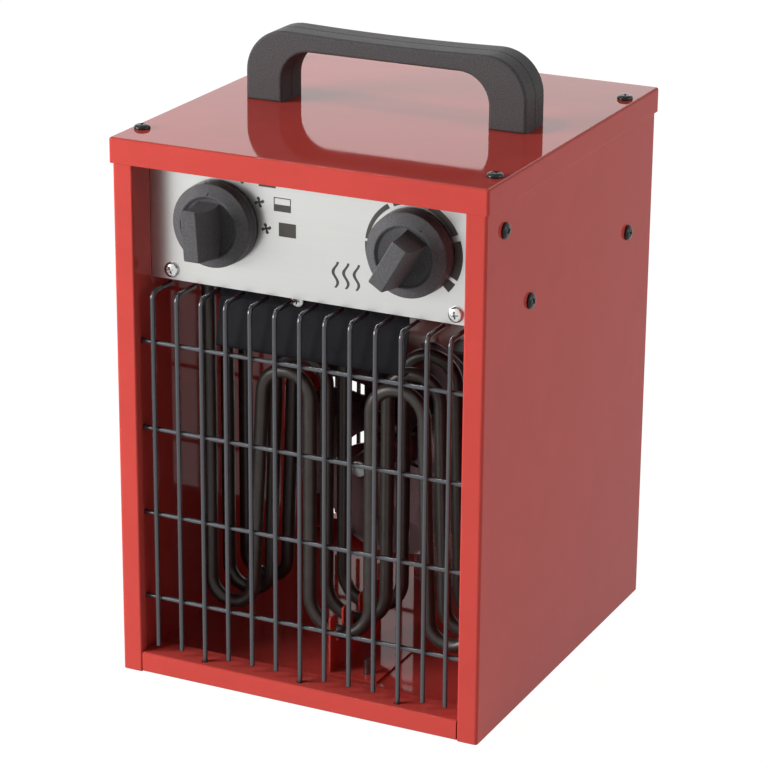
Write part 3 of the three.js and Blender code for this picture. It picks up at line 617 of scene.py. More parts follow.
# ------------------------------------------------------------------ driving dimensions
LID = dict(half_x=100, half_y=107.5, top=284, skirt=12.8, sheet=0.9)
BODY = dict(half_x=98.8, half_y=106.3, bottom=4, top=282.8)
FRONT, BACK = -BODY["half_y"], BODY["half_y"]
OPENING = 88
SHEET = 1
BAR_TOP = 14.9
RETURN_DEPTH = 17
REAR_LIP = 8
FOLD_OUTER, FOLD_INNER, LIP_OUTER, LIP_INNER = 1.6, 0.6, 1.0, 0.3
BAR_FOLD = 1.4
CROSS_Z = (44.3, 89.7, 135.1, 180.5)
WIRE_X = [k * 13.45 for k in range(-6, 7)]
FRONT_WIRE_X = WIRE_X[:-1] + [WIRE_X[-1] - 1.4]
WIRE_RADIUS, WIRE_CAP = 1.2, 0.5
CROSS_HALF = 93
CROSS_GAP = 1.8
GRILLE_Y, CROSS_Y = FRONT + 5, FRONT + 5 + CROSS_GAP
GUARD_Y = 101.7
UPRIGHT_TOP, UPRIGHT_BEND, UPRIGHT_BACK = 206.8, 3.6, -82.6
TRAY = dict(half_x=97.5, front=-87.9, back=105, low=211, sides=226, lip=223, top=281)
PLATE_Y = -89
PLATE = dict(half_x=97.5, low=210.5, high=280.5, sheet=0.8)
KNOB_Z = 243.5
HEAT_X, THERMOSTAT_X = -50, 54
ROWS = {"front": FRONT + 49, "middle": FRONT + 68, "rear": FRONT + 87}
ELEMENT_END_X = 74
AXIS_Z = 106
FAN_Y = FRONT + 112
NOSE_Y = FRONT + 68
LID_SCREWS = [(-93.5, -86), (93.5, -86), (-93.5, 76), (93.5, 76)]
HANDLE_SCREWS = [(-66.5, 5.8), (66.5, 5.8)]
SIDE_SCREWS = [(-86, 259), (-53.9, 215.6), (71.7, 215.6)]
PLATE_SCREW_X, PLATE_SCREW_Z = 76.4, 215.6
BAFFLE_SCREW = (-11.5, 207)
COMB_SCREW = (17.3, -60)
GLAND_XZ = (60, 246)
SCREW_HOLE = 2.1
FEET = [(-80, -87), (80, -87), (-80, 87), (80, 87)]
TO_FRONT = turn("X", 90)
TO_RIGHT, TO_LEFT = turn("Y", 90), turn("Y", -90)
DOWN = turn("X", 180)


# ------------------------------------------------------------------ casing, lid and tray
def casing_wall(side, sign):
    """One side of the casing, with the flanges that frame the front and rear openings."""
    inner, outer = OPENING, BODY["half_x"]
    corners = [
        (inner, FRONT + RETURN_DEPTH), (inner, FRONT, LIP_OUTER), (outer, FRONT, FOLD_OUTER),
        (outer, BACK, FOLD_OUTER), (inner, BACK, LIP_OUTER), (inner, BACK - REAR_LIP),
        (inner + SHEET, BACK - REAR_LIP), (inner + SHEET, BACK - SHEET, LIP_INNER),
        (outer - SHEET, BACK - SHEET, FOLD_INNER), (outer - SHEET, FRONT + SHEET, FOLD_INNER),
        (inner + SHEET, FRONT + SHEET, LIP_INNER), (inner + SHEET, FRONT + RETURN_DEPTH),
    ]
    corners = [(sign * x, y, *r) for x, y, *r in corners]
    wall = prism(rounded(corners, 5), "XY", BODY["bottom"], BODY["top"])
    cuts = [
        drill("X", (y, z), sign * (OPENING - 2), sign * CROSS_HALF, 1.6)
        for z in CROSS_Z for y in (CROSS_Y, GUARD_Y)
    ]
    cuts += [drill("X", at, sign * 96, sign * 101, SCREW_HOLE) for at in SIDE_SCREWS]
    lip = sign * OPENING
    cuts.append(block((lip - 1.4, 90, TRAY["low"] - 2), (lip + 1.4, BACK - 1, 281.8)))
    piece(
        f"casing_{side}", wall, "red_paint", replaces=["casing"], edge=0.22,
        cut=[together(cuts)],
    )


def casing_floor():
    """The floor and the bars below both openings, let into the walls by thin wings."""
    low, high = BODY["bottom"], BAR_TOP
    front_lip = FRONT + 16.6
    profile = [
        (front_lip, high), (FRONT, high, BAR_FOLD), (FRONT, low, FOLD_OUTER),
        (BACK, low, FOLD_OUTER), (BACK, high, BAR_FOLD), (BACK - REAR_LIP, high),
        (BACK - REAR_LIP, high - SHEET), (BACK - SHEET, high - SHEET, 0.4),
        (BACK - SHEET, low + SHEET, FOLD_INNER), (FRONT + SHEET, low + SHEET, FOLD_INNER),
        (FRONT + SHEET, high - SHEET, 0.4), (front_lip, high - SHEET),
    ]
    floor = prism(rounded(profile, 5), "YZ", -87.6, 87.6)
    wings = [
        block((a, FRONT + 1.8, low + 0.04), (b, BACK - 1.8, low + 0.97))
        for a, b in ((-98.3, -86.6), (86.6, 98.3))
    ]
    holes = [drill("Z", (x, GRILLE_Y), 12, 16, 1.9, 24) for x in WIRE_X[2::4]]
    holes += [drill("Z", at, 2, 7, 2.4) for at in FEET]
    holes.append(drill("Z", COMB_SCREW, 2, 7, SCREW_HOLE))
    piece(
        "casing_floor", floor, "red_paint", replaces=["casing"], joined=wings, edge=0.22,
        cut=[together(holes)],
    )


def lid():
    x, y, top, skirt, sheet = (LID[k] for k in ("half_x", "half_y", "top", "skirt", "sheet"))
    outline = rounded(rectangle(-x, -y, x, y, 1.5), 6)
    shell = prism(outline, "XY", top - skirt, top, 0.25, 1.3, 5)
    x, y = x - sheet, y - sheet
    hollow = prism(rounded(rectangle(-x, -y, x, y, 1), 4), "XY", 240, top - sheet)
    holes = [drill("Z", at, top - 5, top + 2, SCREW_HOLE) for at in LID_SCREWS]
    holes += [drill("Z", at, top - 5, top + 2, 2.3) for at in HANDLE_SCREWS]
    piece("lid_shell", shell, "red_paint", replaces=["lid"], cut=[hollow, together(holes)])


def tray():
    x, front, back, low = (TRAY[k] for k in ("half_x", "front", "back", "low"))
    walls = [
        block((-x, front, low), (x, back, low + SHEET)),
        block((-x, front, low), (SHEET - x, back, TRAY["sides"])),
        block((x - SHEET, front, low), (x, back, TRAY["sides"])),
        block((-x, front, low), (x, front + SHEET, TRAY["lip"])),
        block((-x, back - SHEET, low), (x, back, TRAY["top"])),
        block((-20.5, -78.6, 200), (-2.5, -77.6, low + SHEET)),
    ]
    holes = [
        drill("Z", (sign * ELEMENT_END_X, y), 200, 215, 5.3, 24)
        for y in ROWS.values() for sign in (-1, 1)
    ]
    holes += [
        drill("Z", (THERMOSTAT_X, -5), 200, 215, 3),
        drill("Z", (-30, 40), 200, 215, 5, 24),
        drill("Y", GLAND_XZ, 100, 110, 8.3, 32),
        drill("Y", BAFFLE_SCREW, -80, -75, 1.9, 16),
    ]
    for sign in (-1, 1):
        holes.append(drill("Y", (sign * PLATE_SCREW_X, PLATE_SCREW_Z), -90, -80, 2, 16))
        holes += [
            drill("X", at, sign * 90, sign * 101, SCREW_HOLE, 16) for at in SIDE_SCREWS[1:]
        ]
    piece(
        "tray_shell", walls[0], "red_paint", replaces=["control_tray"], joined=walls[1:],
        edge=0.15, cut=[together(holes)],
    )


def plate():
    x, y, low, high, thick = PLATE["half_x"], PLATE_Y, PLATE["low"], PLATE["high"], PLATE["sheet"]
    sheet = block((-x, y, low), (x, y + thick, high))
    lugs = [
        block((a, y + 0.3, 250), (b, -78.2, 268)) for a, b in ((-x, thick - x), (x - thick, x))
    ]
    holes = [drill("Y", (a, KNOB_Z), y - 2, y + 3, 5, 32) for a in (HEAT_X, THERMOSTAT_X)]
    holes += [
        drill("Y", (sign * PLATE_SCREW_X, PLATE_SCREW_Z), y - 2, y + 3, 2) for sign in (-1, 1)
    ]
    holes += [drill("X", SIDE_SCREWS[0], a, b, 1.9, 16) for a, b in ((-101, -90), (90, 101))]
    piece(
        "plate_sheet", sheet, "stainless", replaces=["control_plate"], joined=lugs, edge=0.15,
        cut=[together(holes)],
    )


def baffle():
    profile = [
        (-79.4, 210.6), (-80.2, 210.6), (-80.2, 203, 4), (-85.7, 178.4, 1.0), (-79.7, 178.4),
        (-79.7, 179.2), (-84.8, 179.2, 0.3), (-79.4, 203, 3.2),
    ]
    sheet = prism(rounded(profile, 5), "YZ", -54.5, 48)
    hole = drill("Y", BAFFLE_SCREW, -84, -76, 1.9, 16)
    piece("baffle_sheet", sheet, "black_paint", replaces=["heat_baffle"], edge=0.18, cut=[hole])


# ------------------------------------------------------------------ grilles
def cross_wires(y):
    """The level wires of a grille or guard."""
    return [
        rod((-CROSS_HALF, y, z), (CROSS_HALF, y, z), WIRE_RADIUS, 20, WIRE_CAP) for z in CROSS_Z
    ]


def welds(xs, y_a, y_b):
    """The small fillets where an upright is welded to a cross wire."""
    angles = [math.pi * k / 8 for k in range(9)]
    blob = lathe([(math.sin(a), -math.cos(a)) for a in angles], 12)
    scale = Matrix.Diagonal((1.55, 0.7, 1.55, 1))
    middle = (y_a + y_b) / 2
    return [blob.moved(place((x, middle, z)) @ scale) for x in xs for z in CROSS_Z]


def grilles():
    uprights = []
    for k, x in enumerate(FRONT_WIRE_X):
        foot = 10 if (k - 6) % 4 == 0 else 18
        corners = [
            (x, GRILLE_Y, foot), (x, GRILLE_Y, UPRIGHT_TOP, UPRIGHT_BEND),
            (x, UPRIGHT_BACK, UPRIGHT_TOP),
        ]
        uprights.append(tube(route(corners), WIRE_RADIUS, 20, WIRE_CAP))
    parts = uprights + cross_wires(CROSS_Y) + welds(FRONT_WIRE_X, GRILLE_Y, CROSS_Y)
    piece("grille_wires", together(parts), "coated_wire", replaces=["front_grille"], sharp=50)
    y = GUARD_Y - CROSS_GAP
    parts = [rod((x, y, 18), (x, y, 205), WIRE_RADIUS, 20, WIRE_CAP) for x in WIRE_X]
    parts += cross_wires(GUARD_Y) + welds(WIRE_X, y, GUARD_Y)
    piece("guard_wires", together(parts), "coated_wire", replaces=["rear_guard"], sharp=50)


# ------------------------------------------------------------------ carrying handle
def handle():
    """Two halves that meet on a narrow seam; the top sags a little in its middle."""
    low, half, top, bend = LID["top"], 76.5, 321.5, 22
    inner_half, inner_top, inner_bend = 56.5, 311.2, 16
    outline = [
        (-half, low), (-half, top, bend), (0, 319.1, 1400), (half, top, bend), (half, low),
        (inner_half, low), (inner_half, inner_top, inner_bend),
        (-inner_half, inner_top, inner_bend), (-inner_half, low),
    ]
    points = rounded(outline, 16)
    for name, low, high, edges in (
        ("front", -11.5, -0.12, (1.6, 0.35)),
        ("rear", 0.12, 11.5, (0.35, 1.6)),
    ):
        shell = prism(points, "XZ", low, high, *edges, steps=4)
        cut = []
        if name == "rear":
            cut = [together(drill("Z", at, 280, 297, 2.2) for at in HANDLE_SCREWS)]
        piece(
            f"handle_{name}_shell", shell, "black_plastic", cut=cut,
            replaces=[f"handle_{name}_half"], sharp=40,
        )


# ------------------------------------------------------------------ screws and feet
def pan_screw(radius, height, shank, length):
    """Cross-recessed pan head, its own +Z out of the head and its seat at zero."""
    dome = [(0, -length), (shank, -length + 0.8), (shank, 0)]
    dome += [(radius - 0.15, 0), (radius, 0.15)]
    for k in range(9):
        a = math.pi / 2 * k / 8
        level = 0.3 * height + 0.62 * height * math.sin(a)
        dome.append((radius * (0.46 + 0.54 * math.cos(a)), level))
    dome.append((0, height))
    head = lathe(dome, 40)
    long, wide = radius * 0.52, radius * 0.13
    cross = [
        (wide, wide), (wide, long), (-wide, long), (-wide, wide), (-long, wide),
        (-long, -wide), (-wide, -wide), (-wide, -long), (wide, -long), (wide, -wide),
        (long, -wide), (long, wide),
    ]
    levels = ((height + 0.2, 1.0), (height * 0.2, 0.45))
    return head, loft([[(x * s, y * s, z) for x, y in cross] for z, s in levels])


def screw(name, size, slot, at, *turns, look=None):
    """A pan screw in place of a node; size is its head's radius and height, shank and length."""
    head, recess = pan_screw(*size)
    matrix = place(at, *turns)
    piece(
        f"{name}_body", head.moved(matrix), slot, replaces=[name],
        cut=[recess.moved(matrix)], look=look,
    )


def screws():
    for i, at in enumerate(LID_SCREWS):
        at = (*at, LID["top"])
        screw(f"lid_screw_{i + 1}", (4, 2.4, 1.9, 9), "black_screw", at, turn("Z", 20 + 31 * i))
    for i, at in enumerate(SIDE_SCREWS):
        size = (4, 2.4, 1.9 if i else 1.6, 8)
        for side, sign, facing in (("right", 1, TO_RIGHT), ("left", -1, TO_LEFT)):
            seat = (sign * BODY["half_x"], *at)
            spin = turn("Z", 15 + 25 * i)
            screw(f"side_screw_{side}_{i + 1}", size, "black_screw", seat, facing, spin)
    for side, sign, spin in (("left", -1, 24), ("right", 1, 8)):
        at = (sign * PLATE_SCREW_X, PLATE_Y, PLATE_SCREW_Z)
        screw(f"plate_screw_{side}", (3.9, 2.3, 1.6, 8), "chrome", at, TO_FRONT, turn("Z", spin))
    x, z = BAFFLE_SCREW
    screw("baffle_screw", (3.5, 2.2, 1.6, 8), "zinc", (x, -80.2, z), TO_FRONT)
    # The comb screw's tip takes the darker zinc: painted shade.
    screw(
        "comb_screw", (3.8, 2.2, 1.8, 10.5), "zinc", (*COMB_SCREW, BODY["bottom"]), DOWN,
        look="zinc_painted_shade",
    )


def feet():
    profile = [
        (0, 0), (6.2, 0, 0.8), (7, 1.2, 0.5), (7, 4, 0.3), (2.1, 4), (2.1, 5.3, 0.2),
        (3.1, 5.3, 0.3), (0, 7),
    ]
    for i, (x, y) in enumerate(FEET):
        pad = turned(profile, 40).moved(place((x, y, 0)))
        piece(f"foot_{i + 1}_pad", pad, "rubber", replaces=[f"foot_{i + 1}"])


# ------------------------------------------------------------------ knobs
def knob(name, body, x, degrees):
    """Round knob with a wedge grip; its own +Z faces the front and its pointer +Y."""
    matrix = place((x, PLATE_Y - 0.8, KNOB_Z), TO_FRONT, turn("Z", -degrees))
    shell = turned(
        [
            (0, 0.4), (6, 0.4), (6, 3.6), (14.1, 3.6), (16.5, 7.6, 1), (19.1, 7.6, 0.5),
            (19.4, 0), (21.3, 0, 0.4), (21.25, 2.6, 0.15), (20.9, 2.75, 0.1), (20.9, 3.1, 0.1),
            (21.15, 3.25, 0.15), (20.9, 7.4, 0.7), (15.4, 10.6, 0.9), (13.9, 9.2, 1.5),
            (7, 7.4, 6), (0, 7.2),
        ],
        96,
    )
    base, base_tail, base_head = 6.4, 15.4, 13.2
    top, top_tail, top_head = 4.2, 13.0, 13.6
    levels = [
        rectangle(-base, -base_tail, base, base_head, 4.6),
        [(-top, -top_tail, 26.8), (top, -top_tail, 26.8), (top, top_head, 30),
         (-top, top_head, 30)],
    ]
    grip = raw_object("grip", loft(levels))
    soften(grip, 0.7, 3, 30)
    reach = 32
    scoop = drill("X", (11 + reach, 18), -14, 14, reach, 128)
    boolean(grip, "DIFFERENCE", [scoop])
    grip_part = Part(
        [v.co / MM for v in grip.data.vertices], [p.vertices[:] for p in grip.data.polygons]
    )
    bpy.data.objects.remove(grip)
    tick = block((-0.28, 15.8, 9.6), (0.28, 19.2, 12))
    bore = drill("Z", (0, 0), -1, 13, 3.3, 24)
    # The moulding takes the knobs' lighter copy of the black plastic: painted light.
    piece(
        f"{name}_moulding", shell.moved(matrix), "black_plastic", body, [name],
        joined=[grip_part.moved(matrix)], cut=[(tick + bore).moved(matrix)], sharp=30,
        look="knob_plastic_painted_light",
    )


# ------------------------------------------------------------------ printed symbols
INK_LOW, INK_HIGH = PLATE_Y - 0.07, PLATE_Y + 0.02
FANS = ((-37.6, 266.9), (-27.8, 256.4), (-24.1, 243.7))
HEAT_BARS = ((-23.5, 267.8, 0.22), (-15.4, 256.6, 0.5), (-12.7, 244.3, 1))
SCALE_START, SCALE_SWEEP, SCALE_RADIUS = -136, 270, 25.4
SCALE_BANDS = [(-136, -86.5), (-83.5, -33), (-27, 16), (18.5, 64), (71, 117), (121.5, 134)]


def printed(name, outlines):
    """Thin raised print of outlines (x, z) on the plate."""
    ink = together(prism(points, "XZ", INK_LOW, INK_HIGH) for points in outlines)
    piece(name, ink, "black_paint", look="ink")


def fan_symbol(x, z):
    shape = [(0.25, -0.35), (1.6, -1.05), (2.75, -0.55), (2.55, 0.75), (1.2, 0.5), (0.25, 0.35)]
    outlines = []
    for blade in range(4):
        a = math.radians(90 * blade + 20)
        c, s = math.cos(a), math.sin(a)
        outlines.append([Vector((x + u * c - v * s, z + u * s + v * c)) for u, v in shape])
    angles = [2 * math.pi * n / 12 for n in range(12)]
    outlines.append([Vector((x + 0.6 * math.cos(t), z + 0.6 * math.sin(t))) for t in angles])
    return outlines


def heat_bar(x, z, fill):
    """A frame filled from its bottom to a share of its height."""
    w, h, line = 4.6, 3.45, 0.45
    top = -h + line + (2 * h - 2 * line) * fill
    bars = [
        rectangle(-w, h - line, w, h),
        rectangle(-w, -h, w, -h + line),
        rectangle(-w, -h + line, -w + line, h - line),
        rectangle(w - line, -h + line, w, h - line),
        rectangle(-w + line, -h + line, w - line, top),
    ]
    return [[Vector((x + u, z + v)) for u, v in points] for points in bars]


def scale_band(start, end):
    """Part of the thermostat's ring, which grows thicker clockwise from its start."""
    shares = [k / 10 for k in range(11)]

    def inner_radius(angle):
        return SCALE_RADIUS - (1.2 + 3.4 * (angle - SCALE_START) / SCALE_SWEEP)

    def point(radius, share):
        a = math.radians(start + (end - start) * share)
        return Vector((THERMOSTAT_X + radius * math.sin(a), KNOB_Z + radius * math.cos(a)))

    first, last = inner_radius(start), inner_radius(end)
    points = [point(SCALE_RADIUS, share) for share in shares]
    return points + [point(first + (last - first) * share, share) for share in shares[::-1]]


def warmth_wave(x):
    """One upright wavy line, thinner at its ends."""
    left, right = [], []
    for n in range(25):
        t = n / 24
        z = 219.5 + 13 * t
        sway = 1.25 * math.sin(2 * math.pi * t * 1.25)
        half = 0.8 * (0.75 + 0.25 * math.sin(math.pi * t))
        left.append(Vector((x + sway - half, z)))
        right.append(Vector((x + sway + half, z)))
    return left + right[::-1]


def symbols():
    printed("fan_symbols", [outline for at in FANS for outline in fan_symbol(*at)])
    printed("heat_symbols", [outline for bar in HEAT_BARS for outline in heat_bar(*bar)])
    printed("thermostat_scale", [scale_band(*band) for band in SCALE_BANDS])
    printed("warmth_symbol", [warmth_wave(13.0 + 5.6 * k) for k in range(3)])


# ------------------------------------------------------------------ heating elements
TUBE_RADIUS = 3.5
MIDDLE_LEG_X, MIDDLE_LOW, MIDDLE_BEND = 17, 24.5, 16.7
OUTER_LOW_X, OUTER_LOW, OUTER_BEND = 50, 29.7, 11.8
LOOP_X = 45.5
LEFT_LOOPS = {"front": (160.3, 43), "middle": (162.5, 45.5), "rear": (166.5, 45.5)}
TRAY_END = 209


def half_element(top, top_x):
    """The corners (x, z, bend) of one side's tube, from the middle bend out to its end."""
    bend = (top_x - MIDDLE_LEG_X) / 2 - 0.25
    return [
        (MIDDLE_LEG_X, MIDDLE_LOW, MIDDLE_BEND), (MIDDLE_LEG_X, top, bend), (top_x, top, bend),
        (OUTER_LOW_X, OUTER_LOW, OUTER_BEND), (ELEMENT_END_X, OUTER_LOW, OUTER_BEND),
    ]


def element_end():
    """Collar, nut, thread and terminal pin, on the tube's own upright axis."""
    collar = turned([(0, 199), (4.5, 199, 0.5), (4.5, 203), (0, 203)], 32)
    nut = prism(hexagon(7), "XY", 202, 210.7, 0.5, 0.3, 2)
    thread = [(0, 210), (5, 210)]
    for n in range(9):
        z = 210.7 + n * 0.9
        thread += [(5, z + 0.1), (4.5, z + 0.45), (5, z + 0.8)]
    thread += [(4.5, 219), (0, 219)]
    return [collar, nut, lathe(thread, 32), rod((0, 0, 218), (0, 0, 232), 1.7, 20, 0.3)]


def elements():
    for row, y in ROWS.items():
        top, left_x = LEFT_LOOPS[row]
        corners = [(-ELEMENT_END_X, y, TRAY_END)]
        corners += [(-x, y, z, r) for x, z, r in half_element(top, left_x)[::-1]]
        corners += [(x, y, z, r) for x, z, r in half_element(top, LOOP_X)]
        corners += [(ELEMENT_END_X, y, TRAY_END)]
        parts = [tube(route(corners, 12), TUBE_RADIUS, 28)]
        for sign in (-1, 1):
            at = place((sign * ELEMENT_END_X, y, 0))
            parts += [part.moved(at) for part in element_end()]
        piece(
            f"element_tube_{row}", together(parts), "element_sheath",
            replaces=[f"heating_element_{row}"],
        )


def comb():
    """Upright web with a slot for each element's lowest bend, on a flange on the floor."""
    low = BODY["bottom"] + SHEET
    front, back = FRONT + 38.5, FRONT + 97.5
    web, tooth_top, slot = 20.7, 36, 4.1
    profile = [(back, low), (front, low), (front, tooth_top, 1.2)]
    for i, y in enumerate(ROWS.values()):
        if i:
            profile += [(y - slot - 3.9, tooth_top, 0.8), (y - slot - 3.9, web + 9, 0.3)]
            profile += [(y - slot, web + 9, 0.3)]
        else:
            profile += [(y - slot, tooth_top, 0.6)]
        profile += [(y - slot, web, 1.5), (y + slot, web, 1.5), (y + slot, tooth_top, 1.5)]
    profile += [(back, tooth_top, 1.2)]
    web_sheet = prism(rounded(profile, 4), "YZ", -SHEET, 0)
    flange = block((-SHEET, front, low), (26, front + 46, low + SHEET))
    hole = drill("Z", COMB_SCREW, 2, 9, SCREW_HOLE)
    piece(
        "comb_sheet", web_sheet, "red_paint", replaces=["element_comb"], joined=[flange],
        edge=0.15, cut=[hole],
    )


# ------------------------------------------------------------------ fan and motor
BLADES, FIRST_BLADE = 5, 18.5
BLADE_STATIONS = [(10, 20), (20, 29), (33, 33.5), (46, 32.5), (57, 26), (62, 12)]
BLADE_SWEEP, SWEEP_RADIUS = 1.33, 33
BLADE_TWIST, BLADE_CAMBER = -6.5, 1.4
BLADE_SHEET = 1.2
BLADE_ROOT, BLADE_TIP = 10, 61.8
SHAFT_BORE = 2.8


def blade_half_width(radius):
    """Half the blade's angle at a radius, on a smooth line through (radius, degrees)."""
    points = BLADE_STATIONS
    i = max(k for k, (r, _) in enumerate(points[:-1]) if r <= radius + 1e-9)
    (r0, w0), (r1, w1) = points[i], points[i + 1]
    slopes = []
    for k in (i, i + 1):
        (ra, wa), (rb, wb) = points[max(k - 1, 0)], points[min(k + 1, len(points) - 1)]
        slopes.append((wb - wa) / (rb - ra) * (r1 - r0))
    t = (radius - r0) / (r1 - r0)
    return (
        w0 * (2 * t ** 3 - 3 * t ** 2 + 1) + w1 * (3 * t ** 2 - 2 * t ** 3)
        + slopes[0] * (t ** 3 - 2 * t ** 2 + t) + slopes[1] * (t ** 3 - t ** 2)
    )


def fan_blade(direction):
    """One swept blade, twisted like a screw thread; its own +Z faces the front."""
    rows, columns = 26, 12
    layers = []
    for side in (1, -1):
        grid = []
        for i in range(rows + 1):
            radius = BLADE_ROOT + (BLADE_TIP - BLADE_ROOT) * math.sin(math.pi / 2 * i / rows)
            half = blade_half_width(radius)
            middle = direction + BLADE_SWEEP * (radius - SWEEP_RADIUS)
            line = []
            for j in range(columns + 1):
                share = 2 * j / columns - 1
                angle = math.radians(middle + share * half)
                rise = BLADE_TWIST * math.radians(share * half)
                rise -= BLADE_CAMBER * (radius / BLADE_TIP) * (1 - share ** 2)
                height = rise + side * BLADE_SHEET / 2
                line.append(Vector((radius * math.cos(angle), radius * math.sin(angle), height)))
            grid.append(line)
        layers.append(grid)
    verts = [v for grid in layers for line in grid for v in line]
    wide = columns + 1
    count = (rows + 1) * wide
    faces = []
    for i in range(rows):
        for j in range(columns):
            a = i * wide + j
            faces.append((a, a + 1, a + 1 + wide, a + wide))
            faces.append(tuple(count + n for n in (a, a + wide, a + 1 + wide, a + 1)))
    rim = list(range(wide))
    rim += [i * wide + columns for i in range(1, rows + 1)]
    rim += [rows * wide + j for j in range(columns - 1, -1, -1)]
    rim += [i * wide for i in range(rows - 1, 0, -1)]
    for a, b in zip(rim, rim[1:] + rim[:1]):
        faces.append((a, b, b + count, a + count))
    return Part(verts, faces)


def fan():
    matrix = place((0, FAN_Y, AXIS_Z), TO_FRONT)
    hub = turned(
        [(SHAFT_BORE, -7), (13, -7, 0.8), (14, -5, 0.8), (14, 5.6, 1.2), (12.4, 7, 1.0),
         (8.8, 7, 0.5), (8.4, 6.4), (SHAFT_BORE, 6.4)],
        64, closed=True,
    )
    blades = [fan_blade(FIRST_BLADE + 360 // BLADES * k) for k in range(BLADES)]
    # The blades get the dark maroon aluminium: painted shade and painted reflection of the red
    # casing.
    piece(
        "fan_blades", hub.moved(matrix), "aluminium_sheet", "fan_rotor", ["fan_impeller"],
        joined=[blade.moved(matrix) for blade in blades], sharp=45,
        look="aluminium_painted_shade_and_red_reflection",
    )
    seat = FAN_Y - 7.3
    length = seat - NOSE_Y
    at = place((0, seat, AXIS_Z), TO_FRONT)
    nose = turned(
        [(0, 0), (7.6, 0, 0.3), (8, 0.6, 0.2), (8, 2.8, 0.4), (6.4, 4.6, 0.8),
         (6.2, length - 5, 2.5), (4.4, length - 1.1, 1.2), (0, length)],
        48,
    )
    bore = drill("Z", (0, 0), -1, 14, SHAFT_BORE, 24)
    # The nose takes the darker zinc: painted shade.
    piece(
        "fan_nut_nose", nose.moved(at), "zinc", "fan_rotor", ["fan_nut"], cut=[bore.moved(at)],
        look="zinc_painted_shade",
    )


def bearing_bridge(name, face, away):
    """A strap that stands off the stack's face on two feet and holds a round bearing."""

    def slab(x0, x1, a, b):
        ys = sorted((face + away * a, face + away * b))
        return block((x0, ys[0], AXIS_Z - 7), (x1, ys[1], AXIS_Z + 7))

    feet_part = slab(-29, -17, 0, 1.5) + slab(17, 29, 0, 1.5)
    joined = [slab(-18.5, -17, 0, 11), slab(17, 18.5, 0, 11), slab(-18.5, 18.5, 9.5, 11)]
    joined.append(drill("Y", (0, AXIS_Z), face + away * 5, face + away * 11, 6, 40))
    bore = drill("Y", (0, AXIS_Z), face - away * 2, face + away * 14, 2.7, 32)
    piece(
        f"bearing_bridge_{name}", feet_part, "zinc", replaces=[f"motor_bearing_{name}"],
        joined=joined, edge=0.3, cut=[bore],
    )


def motor():
    front, back = 30, 50
    stack = block((-30, front, 84), (30, back, 152), 1.2, 3)
    core = drill("Y", (0, AXIS_Z), front - 2, back + 2, 13.5, 64)
    window = block((-17, front - 2, AXIS_Z + 22), (17, back + 2, 139), 0.6)
    piece(
        "stator_stack", stack, "lamination", replaces=["motor_stator"], edge=0.3,
        cut=[core, window],
    )
    coil = block((-16.5, 21, AXIS_Z + 22.5), (16.5, 59, 162), 3.0, 4)
    inner = block((-20, front - 0.3, 138.7), (20, back + 0.3, 152.3))
    piece("coil_winding", coil, "nylon", replaces=["motor_coil"], cut=[inner])
    bearing_bridge("front", front, -1)
    bearing_bridge("rear", back, 1)
    shaft = rod((0, FAN_Y - 19, AXIS_Z), (0, 65, AXIS_Z), 2.5, 32, 0.4)
    piece("shaft_rod", shaft, "zinc", "fan_rotor", ["motor_shaft"])
    rotor = rod((0, front + 1, AXIS_Z), (0, back - 1, AXIS_Z), 12.7, 64, 0.5)
    bore = drill("Y", (0, AXIS_Z), 20, 60, SHAFT_BORE, 32)
    piece("rotor_cage", rotor, "aluminium_sheet", "fan_rotor", ["motor_rotor"], cut=[bore])


# ------------------------------------------------------------------ the rest of the nodes
def carried_over():
    """CAD nodes whose shape stays get the same finishes as the rest."""
    slots = {row["node"]: row["material_slot"] for row in frame["record"]["subparts"]}
    for name, obj in frame["nodes"].items():
        obj.data.materials.clear()
        obj.data.materials.append(FINISHES[slots[name]])


def gland():
    x, z = GLAND_XZ
    at = place((x, TRAY["back"], z), turn("X", -90))
    base = prism(hexagon(11), "XY", 0.01, 5, 0.3, 0.9, 3)
    dome = turned([(0, 4.5), (9.2, 4.5), (9.4, 5.6, 0.5), (7.6, 13.2, 2.5), (6.4, 14.8, 0.8),
                   (0, 14.8)], 64)
    thread = drill("Z", (0, 0), -11, 1, 7.9, 48)
    bore = drill("Z", (0, 0), -20, 20, 3.8, 40)
    piece(
        "gland_body", base.moved(at), "black_plastic", replaces=["cable_gland"],
        joined=[dome.moved(at), thread.moved(at)], cut=[bore.moved(at)],
    )


def bulb():
    """The thermostat's bulb, and the capillary that leads to it."""
    x, low = THERMOSTAT_X, 201
    path = route([(x, -68.7, KNOB_Z), (x, -5, KNOB_Z, 6), (x, -5, low, 6), (x, 14, low)])
    parts = tube(path, 1, 16) + rod((x, 12, low), (x, 62, low), 3, 32, 1.4)
    piece("bulb_capillary", parts, "copper", replaces=["thermostat_bulb"])


# ------------------------------------------------------------------ stage
WORLD_LIGHT = 0.09
FLOOR_SIZE, FLOOR_GLOW, FLOOR_LIFT = 12.0, 1.06, 0.93
LAMP_TARGET = Vector((0, 0, 0.15))
LAMPS = [
    ("key_lamp", (-1.65, -1.5, 0.65), (1.2, 1.0), 65),
    ("fill_lamp", (2.6, 0.2, 1.0), (1.6, 1.2), 24),
    ("back_lamp", (-1.2, 2.5, 1.25), (2.6, 1.6), 17),
    ("top_lamp", (-0.65, -0.45, 1.65), (0.16, 0.16), 3.5),
]


def seen_rays(nodes):
    """One where the ray comes from the camera, a gloss or glass, and zero elsewhere."""
    path = nodes.add("LightPath")
    total = path.outputs["Is Camera Ray"]
    for name in ("Is Glossy Ray", "Is Transmission Ray"):
        add = nodes.add("Math", operation="MAXIMUM")
        nodes.link(total, add.inputs[0])
        nodes.link(path.outputs[name], add.inputs[1])
        total = add.outputs[0]
    return total


def white(nodes, kind, strength):
    node = nodes.add(kind)
    node.inputs["Color"].default_value = (1, 1, 1, 1)
    node.inputs["Strength"].default_value = strength
    return node.outputs[0]


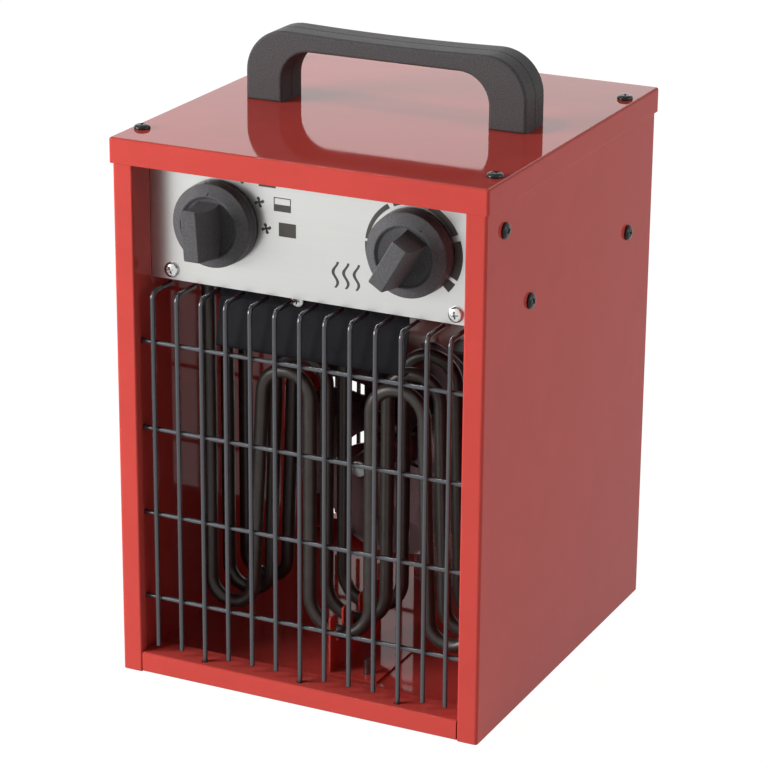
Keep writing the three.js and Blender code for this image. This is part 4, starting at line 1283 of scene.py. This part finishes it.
def mix_shaders(nodes, factor, unseen, seen, into):
    mix = nodes.add("MixShader")
    for socket, out in zip(mix.inputs, (factor, unseen, seen)):
        nodes.link(out, socket)
    nodes.link(mix.outputs[0], into)


def make_world():
    """White to the eye, and dim as a light."""
    world = bpy.data.worlds.new("studio")
    bpy.context.scene.world = world
    world.use_nodes = True
    world.node_tree.nodes.clear()
    nodes = Nodes(world.node_tree)
    lit = white(nodes, "Background", WORLD_LIGHT)
    seen = white(nodes, "Background", 1.0)
    out = nodes.add("OutputWorld")
    mix_shaders(nodes, seen_rays(nodes), lit, seen, out.inputs[0])


def make_floor():
    """Pale floor that shows nearly white and keeps a soft shadow."""
    size = FLOOR_SIZE
    mesh = bpy.data.meshes.new("floor")
    mesh.from_pydata(rectangle(-size, -size, size, size, 0), [], [(0, 1, 2, 3)])
    floor = add_object("floor", mesh)
    material = bpy.data.materials.new("pale_floor")
    material.use_nodes = True
    nodes = Nodes(material.node_tree)
    shader = material.node_tree.nodes["Principled BSDF"]
    shader.inputs["Base Color"].default_value = (0.80, 0.80, 0.80, 1)
    shader.inputs["Roughness"].default_value = 0.7
    glow = white(nodes, "Emission", FLOOR_GLOW)
    factor = nodes.add("Math", operation="MULTIPLY")
    nodes.link(seen_rays(nodes), factor.inputs[0])
    factor.inputs[1].default_value = FLOOR_LIFT
    surface = material.node_tree.nodes["Material Output"].inputs["Surface"]
    mix_shaders(nodes, factor.outputs[0], shader.outputs[0], glow, surface)
    mesh.materials.append(material)


def make_lamps():
    for name, where, size, power in LAMPS:
        data = bpy.data.lights.new(name, "AREA")
        data.shape = "RECTANGLE"
        data.size, data.size_y = size
        data.energy = power
        lamp = add_object(name, data)
        lamp.location = where
        lamp.rotation_mode = "QUATERNION"
        lamp.rotation_quaternion = (LAMP_TARGET - Vector(where)).to_track_quat("-Z", "Y")


# ------------------------------------------------------------------ the whole heater
casing_wall("left", -1)
casing_wall("right", 1)
casing_floor()
lid()
tray()
plate()
baffle()
grilles()
handle()
screws()
feet()
knob("heat_knob", "heat_control", HEAT_X, 0)
knob("thermostat_knob", "thermostat_control", THERMOSTAT_X, 32)
symbols()
elements()
comb()
fan()
motor()
gland()
bulb()
carried_over()
make_world()
make_floor()
make_lamps()

bpy.context.scene.view_settings.view_transform = "Standard"
